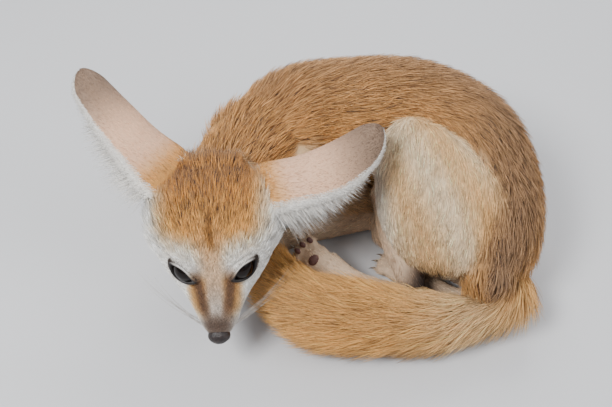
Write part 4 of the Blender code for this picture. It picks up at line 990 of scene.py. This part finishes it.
def ear_coat(name, spec):
    """Short fur over the back, a white rim, and long white hair inside the cup."""
    count = EAR_FUR
    share, across = DRAW.uniform(0.0, 0.995, count), DRAW.uniform(-0.97, 0.97, count)
    root, normal, up = ear_frame(spec, share, across, EAR_SKIN)
    side = np.cross(normal, up)
    lean = unit(up + side * (0.25 * across + DRAW.normal(0, 0.12, count))[:, None])
    colour = ear_colour(share, across, False) * (1 + DRAW.normal(0, 0.11, count))[:, None]
    length = np.interp(share, (0, 0.15, 0.5, 1), (0.0090, 0.0050, 0.0030, 0.0024))
    length = length * DRAW.uniform(0.7, 1.2, count)
    dark = (DRAW.random(count) < 0.10 + 0.25 * rise_to(share, 0.5, 1.0)) * 0.5
    lay_coat(name + "_fur", "coat_ear", SHORT_TUFT, root=root, normal=normal, lean=lean, length=length,
             width=np.full(count, 0.00030), lift=DRAW.uniform(0.10, 0.24, count), colour=colour,
             dark=dark, uv=ear_uv(name, share, across))
    count = EAR_RIM
    share = DRAW.uniform(0.0, 1.0, count)
    edge = np.where(DRAW.random(count) < 0.5, -1.0, 1.0) * DRAW.uniform(0.86, 1.0, count)
    root, normal, up = ear_frame(spec, share, edge, 0.0005)
    rimward = unit(ear_places(spec, share, edge * 1.02, 0.0005) - root)
    lean = unit(0.70 * rimward + 0.85 * up + DRAW.normal(0, 0.12, (count, 3)))
    length = np.interp(share, (0, 0.5, 0.9, 1), (0.0062, 0.0048, 0.0036, 0.0026))
    length = length * DRAW.uniform(0.6, 1.15, count)
    colour = plain(WHITE, root) * (1 + DRAW.normal(0, 0.03, count))[:, None]
    lay_coat(name + "_rim", "coat_pale", SHORT_TUFT, root=root, normal=normal, lean=lean, length=length,
             width=np.full(count, 0.00030), lift=DRAW.uniform(-0.05, 0.35, count), colour=colour,
             dark=np.zeros(count), uv=ear_uv(name, share, edge))
    count = EAR_INSIDE
    share = DRAW.uniform(0.0, 0.78, count)
    inner = spec["fringe_side"] * DRAW.uniform(0.52, 0.92, count)
    inner = np.where(DRAW.random(count) < 0.30, -inner * DRAW.uniform(0.9, 1.0, count), inner)
    root, normal, up = ear_frame(spec, share, inner, 0.0014)
    edge = np.sign(inner)
    rimward = unit(ear_places(spec, share, edge, 0.0014) - ear_places(spec, share, edge * 0.97, 0.0014))
    lean = unit(0.95 * rimward + up * np.interp(share, (0, 0.78), (0.10, 0.70))[:, None]
                + DRAW.normal(0, 0.10, (count, 3)))
    length = np.interp(share, (0, 0.2, 0.5, 0.78), (0.0260, 0.0245, 0.0195, 0.0090))
    length = length * DRAW.uniform(0.45, 1.05, count)
    colour = plain(WHITE * 0.99, root) * (1 + DRAW.normal(0, 0.04, count))[:, None]
    lay_coat(name + "_inner_hair", "coat_pale", LONG_TUFT, root=root, normal=-normal, lean=lean,
             length=length, width=np.full(count, 0.00036), lift=DRAW.uniform(0.05, 0.45, count),
             colour=colour, dark=np.zeros(count), uv=ear_uv(name, share, inner))


for name, spec in EARS.items():
    ear_coat(name, spec)

# %% [markdown]
# ## Eyes and lids
#
# The eyeballs are whole balls, nearly black and wet, with no iris that could be told apart. The lids
# are a collar: its inner edge follows the almond of the opening on a sphere just over the eyeball, and
# its outer edge dives under the skin, found by looking straight down at the skin along the eye's axis.

# %% Eyeballs


def closed_piece(name, blocks):
    """One smooth object from closed blocks, each of them rings with a pole point at either end."""
    places, faces, count = [], [], 0
    for rings, poles in blocks:
        places += [rings.reshape(-1, 3), poles]
        faces += [[count + k for k in face] for face in ring_faces(*rings.shape[:2])]
        count += rings.shape[0] * rings.shape[1] + 2
    return smooth_piece(name, np.vstack(places), faces)


eye_objects = {}
for label, side in (("left_eye", 1), ("right_eye", -1)):
    outward, along_eye, across_eye = eye_axes(side)
    block = ball_rings(eye_centre(side), (along_eye, across_eye, outward), (EYE_RADIUS,) * 3, 36, 48)
    eye_objects[label] = closed_piece(label + "_ball", [block])
print("eyes:", list(eye_objects))

# %% Lids
LID_LENGTH = 0.0186
LID_OPENING = 0.0104
LID_OUTER = (0.0128, 0.0094)
LID_GAP = 0.0007
LID_THICKNESS = 0.0018
LID_SIDES, LID_ROWS = 72, 12
LID_HAIRS = 4500
skin_tree = BVHTree.FromPolygons([tuple(p) for p in points], corners.tolist())
lid_objects = []
for side in (1, -1):
    outward, along_eye, across_eye = eye_axes(side)
    centre = eye_centre(side)
    u = np.linspace(0, 2 * np.pi, LID_SIDES, endpoint=False)
    inner_a = 0.5 * LID_LENGTH * np.cos(u)
    inner_b = 0.5 * LID_OPENING * np.sin(u) * np.abs(np.sin(u)) ** 0.8
    outer_a, outer_b = LID_OUTER[0] * np.cos(u), LID_OUTER[1] * np.sin(u)
    v = np.linspace(0, 1, LID_ROWS)[:, None]
    a, b = inner_a * (1 - v) + outer_a * v, inner_b * (1 - v) + outer_b * v
    ball_rise = np.sqrt(np.maximum((EYE_RADIUS + LID_GAP) ** 2 - 0.62 * a ** 2 - b ** 2, 0.003 ** 2))
    skin_rise = np.empty(LID_SIDES)
    for k in range(LID_SIDES):
        start = centre + along_eye * outer_a[k] + across_eye * outer_b[k] + outward * 0.03
        hit = skin_tree.ray_cast(Vector(start), Vector(-outward))[0]
        skin_rise[k] = 0.002 if hit is None else (np.array(hit) - centre) @ outward - 0.0006
    w = rise_to(v, 0.15, 1.0)
    fold = 0.0004 * np.sin(np.pi * np.clip(v * 1.6, 0, 1))
    height = ball_rise * (1 - w) + skin_rise * w + fold
    grid = centre + along_eye * a[..., None] + across_eye * b[..., None] + outward * height[..., None]
    edge = grid[0] - centre
    lip = centre + edge * ((EYE_RADIUS - 0.0008) / np.linalg.norm(edge, axis=-1))[:, None]
    under = grid[::-1] - outward * LID_THICKNESS
    rows = np.concatenate([lip[None], grid, under[:-1]])
    total = len(rows)
    r, s = np.meshgrid(np.arange(total), np.arange(LID_SIDES), indexing="ij")
    n, m = (s + 1) % LID_SIDES, (r + 1) % total
    here, ahead = r * LID_SIDES, m * LID_SIDES
    faces = np.stack([here + s, here + n, ahead + n, ahead + s], axis=-1).reshape(-1, 4)
    whose = "left" if side > 0 else "right"
    lids = smooth_piece(whose + "_lids", rows.reshape(-1, 3), faces.tolist())
    shade = np.repeat(np.concatenate([[0.0], v[:, 0], v[::-1, 0][:-1]]), LID_SIDES)
    corner = np.tile(np.abs(np.cos(u)) ** 6, total)
    furred = rise_to(shade - 0.22 * corner, 0.05, 0.22)
    tint = mix(plain(UMBER * 0.6, shade), head_colour(rows.reshape(-1, 3)) * 0.92, furred)
    store_colours(lids.data, tint)
    lid_objects.append(lids)
    uu = DRAW.uniform(0, 2 * np.pi, LID_HAIRS)
    vv = DRAW.uniform(0.12, 1.0, LID_HAIRS)
    row_at = 1 + vv * (LID_ROWS - 1)
    low = np.floor(row_at).astype(int).clip(0, LID_ROWS - 1)
    column = (uu / (2 * np.pi) * LID_SIDES).astype(int) % LID_SIDES
    along_row = rows[np.minimum(low + 1, LID_ROWS), column] - rows[low, column]
    root = rows[low, column] + along_row * (row_at - low)[:, None]
    lean = unit(along_row + HEAD_BACK * 0.0004)
    normal = unit(outward + 0.6 * unit(root - centre))
    normal = unit(normal - (normal * lean).sum(axis=1, keepdims=True) * lean)
    rim = rise_to(-vv + 0.12 * np.abs(np.cos(uu)) ** 6, -0.24, -0.12)
    colour = mix(head_colour(root), UMBER, 0.9 * rim)
    colour = colour * (1 + DRAW.normal(0, 0.09, LID_HAIRS))[:, None]
    tile = np.array([[4.5 + 0.4 * side, 4.5]]) / TILES + DRAW.uniform(-0.03, 0.03, (LID_HAIRS, 2))
    lay_coat(whose + "_lid_hair", "coat_pale", SHORT_TUFT, root=root, normal=normal, lean=lean,
             length=DRAW.uniform(0.0016, 0.0032, LID_HAIRS), width=np.full(LID_HAIRS, 0.00026),
             lift=DRAW.uniform(0.1, 0.4, LID_HAIRS), colour=colour, dark=np.zeros(LID_HAIRS), uv=tile)
print("lids:", [item.name for item in lid_objects])

# %% [markdown]
# ## Nose, lips, whiskers, claws and pads
#
# These small bare parts are what the eye looks for first on an animal's face and feet. The nose is a
# ball squeezed in the middle, with a dent that curls outward for each nostril. The lips are a thin
# dark cord along the mouth. Whiskers, claws and pads are tapered or flattened little forms.

# %% Nose
NOSE_AT = head_place(0, 0.0036, 0.0008)
NOSE_RADII = (0.0068, 0.0052, 0.0054)
NOSE_RINGS, NOSE_SIDES = 60, 90
polar = (np.pi * np.arange(1, NOSE_RINGS) / NOSE_RINGS)[:, None]
turn = np.linspace(0, 2 * np.pi, NOSE_SIDES, endpoint=False)
x, y = np.sin(polar) * np.cos(turn), np.sin(polar) * np.sin(turn)
z = -np.cos(polar) * np.ones(NOSE_SIDES)
radius = np.ones_like(x)
for side in (1, -1):
    nostril = ((x - side * 0.48) / 0.20) ** 2 + ((y + 0.02 - 0.10 * np.abs(x)) / 0.15) ** 2
    slit = ((x - side * 0.80) / 0.22) ** 2 + ((y + 0.22) / 0.10) ** 2
    radius -= 0.42 * np.exp(-nostril) * (z < 0)
    radius -= 0.22 * np.exp(-slit) * (z < 0)
radius -= 0.10 * np.exp(-(x / 0.07) ** 2) * (z < 0) * (y < 0.35)
rings = NOSE_AT + (HEAD_LEFT * (x * radius * NOSE_RADII[0])[..., None]
                   + HEAD_UP * (y * radius * NOSE_RADII[1])[..., None]
                   + HEAD_BACK * (z * radius * NOSE_RADII[2])[..., None])
poles = np.array([NOSE_AT - HEAD_BACK * NOSE_RADII[2] * 0.9, NOSE_AT + HEAD_BACK * NOSE_RADII[2]])
nose = closed_piece("nose_pad", [(rings, poles)])
print("nose faces:", len(nose.data.polygons))

# %% Lips
MOUTH_LINE = [(0.0000, 0.0020, -0.0052), (0.0066, 0.0060, -0.0064), (0.0112, 0.0130, -0.0076),
              (0.0150, 0.0210, -0.0088), (0.0188, 0.0290, -0.0096), (0.0216, 0.0340, -0.0086)]
LIP_RADIUS = 0.0008
LIP_END_RADIUS = 0.0002


def cord(path, radius, sides=8):
    """Rings and end points of a thin tube along a path, with the radius given at each point."""
    ahead = unit(np.gradient(path, axis=0))
    side = unit(np.cross(ahead, HEAD_UP + 0.01))
    rise = np.cross(side, ahead)
    turn = np.linspace(0, 2 * np.pi, sides, endpoint=False)
    rings = (path[:, None] + side[:, None] * (radius[:, None] * np.cos(turn))[..., None]
             + rise[:, None] * (radius[:, None] * np.sin(turn))[..., None])
    return rings, path[[0, -1]]


mouth = [(-s, b, r) for s, b, r in MOUTH_LINE[:0:-1]] + MOUTH_LINE
mouth = smooth_rows(mouth, 8)
path = head_place(*mouth.T)
path = np.array([np.array(skin_tree.find_nearest(Vector(p))[0]) for p in path])
ends = np.interp(np.linspace(-1, 1, len(path)), (-1, -0.8, 0.8, 1),
                 (LIP_END_RADIUS, LIP_RADIUS, LIP_RADIUS, LIP_END_RADIUS))
lips = closed_piece("lips", [cord(path, ends)])
print("mouth length:", np.linalg.norm(np.diff(path, axis=0), axis=1).sum().round(4))

# %% Whiskers
WHISKERS = 11
WHISKER_RADIUS = 0.00011
blocks = []
for side in (1, -1):
    for k in range(WHISKERS):
        back = 0.0075 + 0.0016 * (k % 5)
        drop = -0.0010 - 0.0018 * (k // 5)
        guess = head_place(side * 0.012, back, drop)
        root = np.array(skin_tree.find_nearest(Vector(guess))[0])
        length = 0.020 + 0.014 * DRAW.random() + 0.004 * (k % 5)
        heading = unit(HEAD_LEFT * side * (0.95 + 0.15 * DRAW.random())
                       + HEAD_BACK * (0.35 + 0.35 * DRAW.random())
                       + HEAD_UP * (0.10 - 0.25 * DRAW.random()))
        t = np.linspace(0, 1, 10)[:, None]
        sag = (HEAD_BACK * 0.25 - HEAD_UP * 0.22) * length * t ** 2
        path = root - heading * 0.001 + heading * length * t + sag
        blocks.append(cord(path, WHISKER_RADIUS * (1 - 0.85 * t[:, 0]), 5))
whiskers = closed_piece("whiskers", blocks)
print("whiskers:", 2 * WHISKERS)

# %% Claws and pads
CLAW_LENGTH = 0.0058
CLAW_RADIUS = 0.00085
CLAW_LOWEST = 0.0008
PALM_PAD = (0.0034, 0.0042, 0.0013)
TOE_PAD = (0.0024, 0.0018, 0.0011)
blocks = []
for tip, point, top, _ in toe_tips:
    t = np.linspace(0, 1, 9)[:, None]
    path = tip - point * 0.0012 + top * 0.0006 + point * CLAW_LENGTH * t - top * 0.0030 * t ** 2
    path[:, 2] = np.maximum(path[:, 2], CLAW_LOWEST)
    blocks.append(cord(path, CLAW_RADIUS * (1 - t[:, 0]) ** 0.7 + 0.00004))
claws = closed_piece("claws", blocks)
palm, toes, top = [np.array(v) for v in PAWS[0]]
toes = unit(toes)
top = unit(top - top.dot(toes) * toes)
sole_axes = (toes, np.cross(toes, top), top)
spots = [(palm - top * 0.0054 + toes * 0.001, PALM_PAD)]
spots += [(tip - top * 0.0034 - point * 0.0030, TOE_PAD) for tip, point, top, _ in toe_tips[:4]]
pads = closed_piece("paw_pads", [ball_rings(middle, sole_axes, size, 12, 20) for middle, size in spots])
print("claws:", len(toe_tips), "pads:", len(spots))

# %% [markdown]
# ## Finishes
#
# The coat's colours are stored on its points, so its material only has to read them, add a little
# unevenness and a soft sheen. Bare parts are painted with noise and small bumps on object
# coordinates, which stay fixed to the fox from every side.

# %% Materials


def new_material(name, roughness, sheen=0.0):
    """A Principled material with its constant values set on the shader's own sockets."""
    material = bpy.data.materials.new(name)
    material.use_nodes = True
    shader = material.node_tree.nodes["Principled BSDF"]
    shader.inputs["Roughness"].default_value = roughness
    shader.inputs["Sheen Weight"].default_value = sheen
    shader.inputs["Sheen Roughness"].default_value = 0.5
    return material, material.node_tree, shader


def add_noise(tree, scale, detail=3.0):
    """Noise on object coordinates."""
    place = tree.nodes.new("ShaderNodeTexCoord")
    noise = tree.nodes.new("ShaderNodeTexNoise")
    noise.inputs["Scale"].default_value = scale
    noise.inputs["Detail"].default_value = detail
    tree.links.new(place.outputs["Object"], noise.inputs["Vector"])
    return noise


def add_bump(tree, shader, height, distance, strength=0.6):
    """A bump from a height output."""
    bump = tree.nodes.new("ShaderNodeBump")
    bump.inputs["Distance"].default_value = distance
    bump.inputs["Strength"].default_value = strength
    tree.links.new(height, bump.inputs["Height"])
    tree.links.new(bump.outputs["Normal"], shader.inputs["Normal"])


def stored_colour(tree, shader, noise, low, high):
    """The stored colour times a grey that the noise moves between two values."""
    stored = tree.nodes.new("ShaderNodeVertexColor")
    stored.layer_name = "coat"
    ramp = tree.nodes.new("ShaderNodeMapRange")
    ramp.inputs["To Min"].default_value = low
    ramp.inputs["To Max"].default_value = high
    tree.links.new(noise.outputs["Fac"], ramp.inputs["Value"])
    mixer = tree.nodes.new("ShaderNodeMix")
    mixer.data_type = "RGBA"
    mixer.blend_type = "MULTIPLY"
    mixer.inputs["Factor"].default_value = 1.0
    tree.links.new(stored.outputs["Color"], mixer.inputs["A"])
    tree.links.new(ramp.outputs["Result"], mixer.inputs["B"])
    tree.links.new(mixer.outputs["Result"], shader.inputs["Base Color"])


def stored_material(name, roughness, sheen, scale, greys, distance=0.0):
    """The stored colour under an uneven grey, with grain as bumps where a distance is given."""
    material, tree, shader = new_material(name, roughness, sheen)
    noise = add_noise(tree, scale)
    stored_colour(tree, shader, noise, *greys)
    if distance:
        add_bump(tree, shader, noise.outputs["Fac"], distance)
    return material


hair_material = stored_material("fox_hair", 0.62, 0.06, 90, (0.88, 1.12))
# Painted shade: the skin under the coat gets the coat's stored colour at only 0.60 to 0.85 of it, so the
# gaps between the tufts read dark
skin_material = stored_material("fox_skin", 0.80, 0.0, 500, (0.60, 0.85), 0.0006)
ear_material = stored_material("ear_skin", 0.66, 0.06, 700, (0.85, 1.12), 0.0003)
lid_material = stored_material("lid_skin", 0.45, 0.0, 900, (0.85, 1.10), 0.0002)
DARK_UP_TO, LIGHT_FROM = 0.35, 0.70
PEBBLE_SCALE = 2400


def painted(name, dark, light, scale, roughness, distance, cells=False):
    """Two colours mixed by noise, with pebbles or grain as bumps."""
    material, tree, shader = new_material(name, roughness)
    noise = add_noise(tree, scale)
    ramp = tree.nodes.new("ShaderNodeValToRGB")
    ramp.color_ramp.elements[0].position = DARK_UP_TO
    ramp.color_ramp.elements[0].color = (*dark, 1)
    ramp.color_ramp.elements[1].position = LIGHT_FROM
    ramp.color_ramp.elements[1].color = (*light, 1)
    tree.links.new(noise.outputs["Fac"], ramp.inputs["Fac"])
    tree.links.new(ramp.outputs["Color"], shader.inputs["Base Color"])
    height = noise.outputs["Fac"]
    if cells:
        pebbles = tree.nodes.new("ShaderNodeTexVoronoi")
        pebbles.inputs["Scale"].default_value = PEBBLE_SCALE
        place = tree.nodes.new("ShaderNodeTexCoord")
        tree.links.new(place.outputs["Object"], pebbles.inputs["Vector"])
        height = pebbles.outputs["Distance"]
    add_bump(tree, shader, height, distance)
    return material


nose_material = painted("nose_leather", (0.008, 0.0045, 0.004), (0.030, 0.017, 0.014), 600,
                        0.34, 0.00025, cells=True)
lip_material = painted("lip_skin", (0.012, 0.008, 0.007), (0.04, 0.025, 0.02), 900, 0.45, 0.0001)
claw_material = painted("claw_horn", (0.10, 0.075, 0.055), (0.24, 0.19, 0.14), 900, 0.38, 0.00005)
pad_material = painted("pad_skin", (0.075, 0.028, 0.022), (0.16, 0.07, 0.055), 1200,
                       0.55, 0.0002, cells=True)
whisker_material = painted("whisker_hair", (0.20, 0.17, 0.14), (0.55, 0.5, 0.45), 300, 0.4, 0.00001)
eye_material = painted("eye_wet", (0.002, 0.001, 0.0008), (0.009, 0.0035, 0.002), 500, 0.07, 0.00001)
eye_material.node_tree.nodes["Principled BSDF"].inputs["Specular IOR Level"].default_value = 0.18
print("materials:", len(bpy.data.materials))

# %% [markdown]
# ## Put the pieces on the fox
#
# Everything rides on the one still body. The skin stands for all the solids of flesh, the shells
# for the ears, and the fine eyeballs and nose for their coarser solids.

# %% Riding and replacing
FLESH = [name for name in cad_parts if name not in
         ("left_eye", "right_eye", "nose", "left_ear", "right_ear", "left_ear_fringe", "right_ear_fringe")]
store_colours(skin.data, colours)


def dress(item, material, slot, *nodes):
    """Give a piece its material, its body and the solids that it stands for; the slot is not used."""
    item.data.materials.clear()
    item.data.materials.append(material)
    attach(item, "root")
    if nodes:
        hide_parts(*nodes)


dress(skin, skin_material, "coat_back", *FLESH)
for name, ear in ear_objects.items():
    dress(ear, ear_material, "coat_ear", name)
for label, eye in eye_objects.items():
    dress(eye, eye_material, "eye", label)
for item in lid_objects:
    dress(item, lid_material, "coat_pale")
dress(nose, nose_material, "nose_pad", "nose")
dress(lips, lip_material, "nose_pad")
dress(whiskers, whisker_material, "coat_pale")
dress(claws, claw_material, "nose_pad")
dress(pads, pad_material, "nose_pad")
for piece, slot in coat_pieces:
    stands_for = [name + "_fringe" for name in EARS if piece.name == name + "_inner_hair_1"]
    dress(piece, hair_material, slot, *stands_for)
print("coat pieces:", len(coat_pieces))

# %% [markdown]
# ## Floor, light and camera
#
# A plain pale floor and broad soft lights keep the fur readable. The camera stands in front of the
# fox and looks down at fifty degrees.

# %% Floor
FLOOR_HALF = 1.6
corners_round = ((-1, -1, 0), (1, -1, 0), (1, 1, 0), (-1, 1, 0))
floor = plain_mesh("floor", FLOOR_HALF * np.array(corners_round), [[0, 1, 2, 3]])
floor_material, tree, shader = new_material("pale_floor", 0.75)
shader.inputs["Base Color"].default_value = (0.62, 0.62, 0.63, 1)
floor.data.materials.append(floor_material)

# %% Lights
# Place, power in watts and width of each lamp
LIGHTS = [((-0.55, -0.45, 0.95), 15.0, 0.40), ((0.75, -0.35, 0.75), 5.5, 0.7),
          ((0.15, 0.85, 0.80), 8.0, 0.7)]
SKY_COLOUR, SKY_STRENGTH = (0.80, 0.85, 0.92, 1), 0.55
for place, power, size in LIGHTS:
    lamp = bpy.data.lights.new("soft_light", "AREA")
    lamp.energy = power
    lamp.size = size
    holder = bpy.data.objects.new("soft_light", lamp)
    bpy.context.scene.collection.objects.link(holder)
    holder.location = place
    holder.rotation_euler = (-Vector(place)).to_track_quat("-Z", "Y").to_euler()
world = bpy.data.worlds.new("studio")
bpy.context.scene.world = world
world.use_nodes = True
world.node_tree.nodes["Background"].inputs["Color"].default_value = SKY_COLOUR
world.node_tree.nodes["Background"].inputs["Strength"].default_value = SKY_STRENGTH
print("lights:", len(LIGHTS))

# %% Camera
ELEVATION = math.radians(50)
FOCAL_PIXELS = 800
IMAGE_WIDTH = 612
SENSOR_WIDTH = 36
DISTANCE = 0.54
TARGET = np.array((0.0, 0.0, 0.04)) + SHIFT
forward = np.array((0, math.cos(ELEVATION), -math.sin(ELEVATION)))
lens = bpy.data.cameras.new("camera")
lens.sensor_width = SENSOR_WIDTH
lens.lens = FOCAL_PIXELS / IMAGE_WIDTH * SENSOR_WIDTH
lens.clip_start = 0.01
camera = bpy.data.objects.new("camera", lens)
bpy.context.scene.collection.objects.link(camera)
camera.location = TARGET - forward * DISTANCE
camera.rotation_euler = Vector(forward).to_track_quat("-Z", "Y").to_euler()
bpy.context.scene.camera = camera
print("camera at", np.array(camera.location).round(3).tolist())

# %% [markdown]
# ## Count the coat
#
# The triangles of all the coat pieces are counted.

# %% Sizes
triangles = sum(len(piece.data.polygons) for piece, _ in coat_pieces)
print("coat triangles:", triangles)
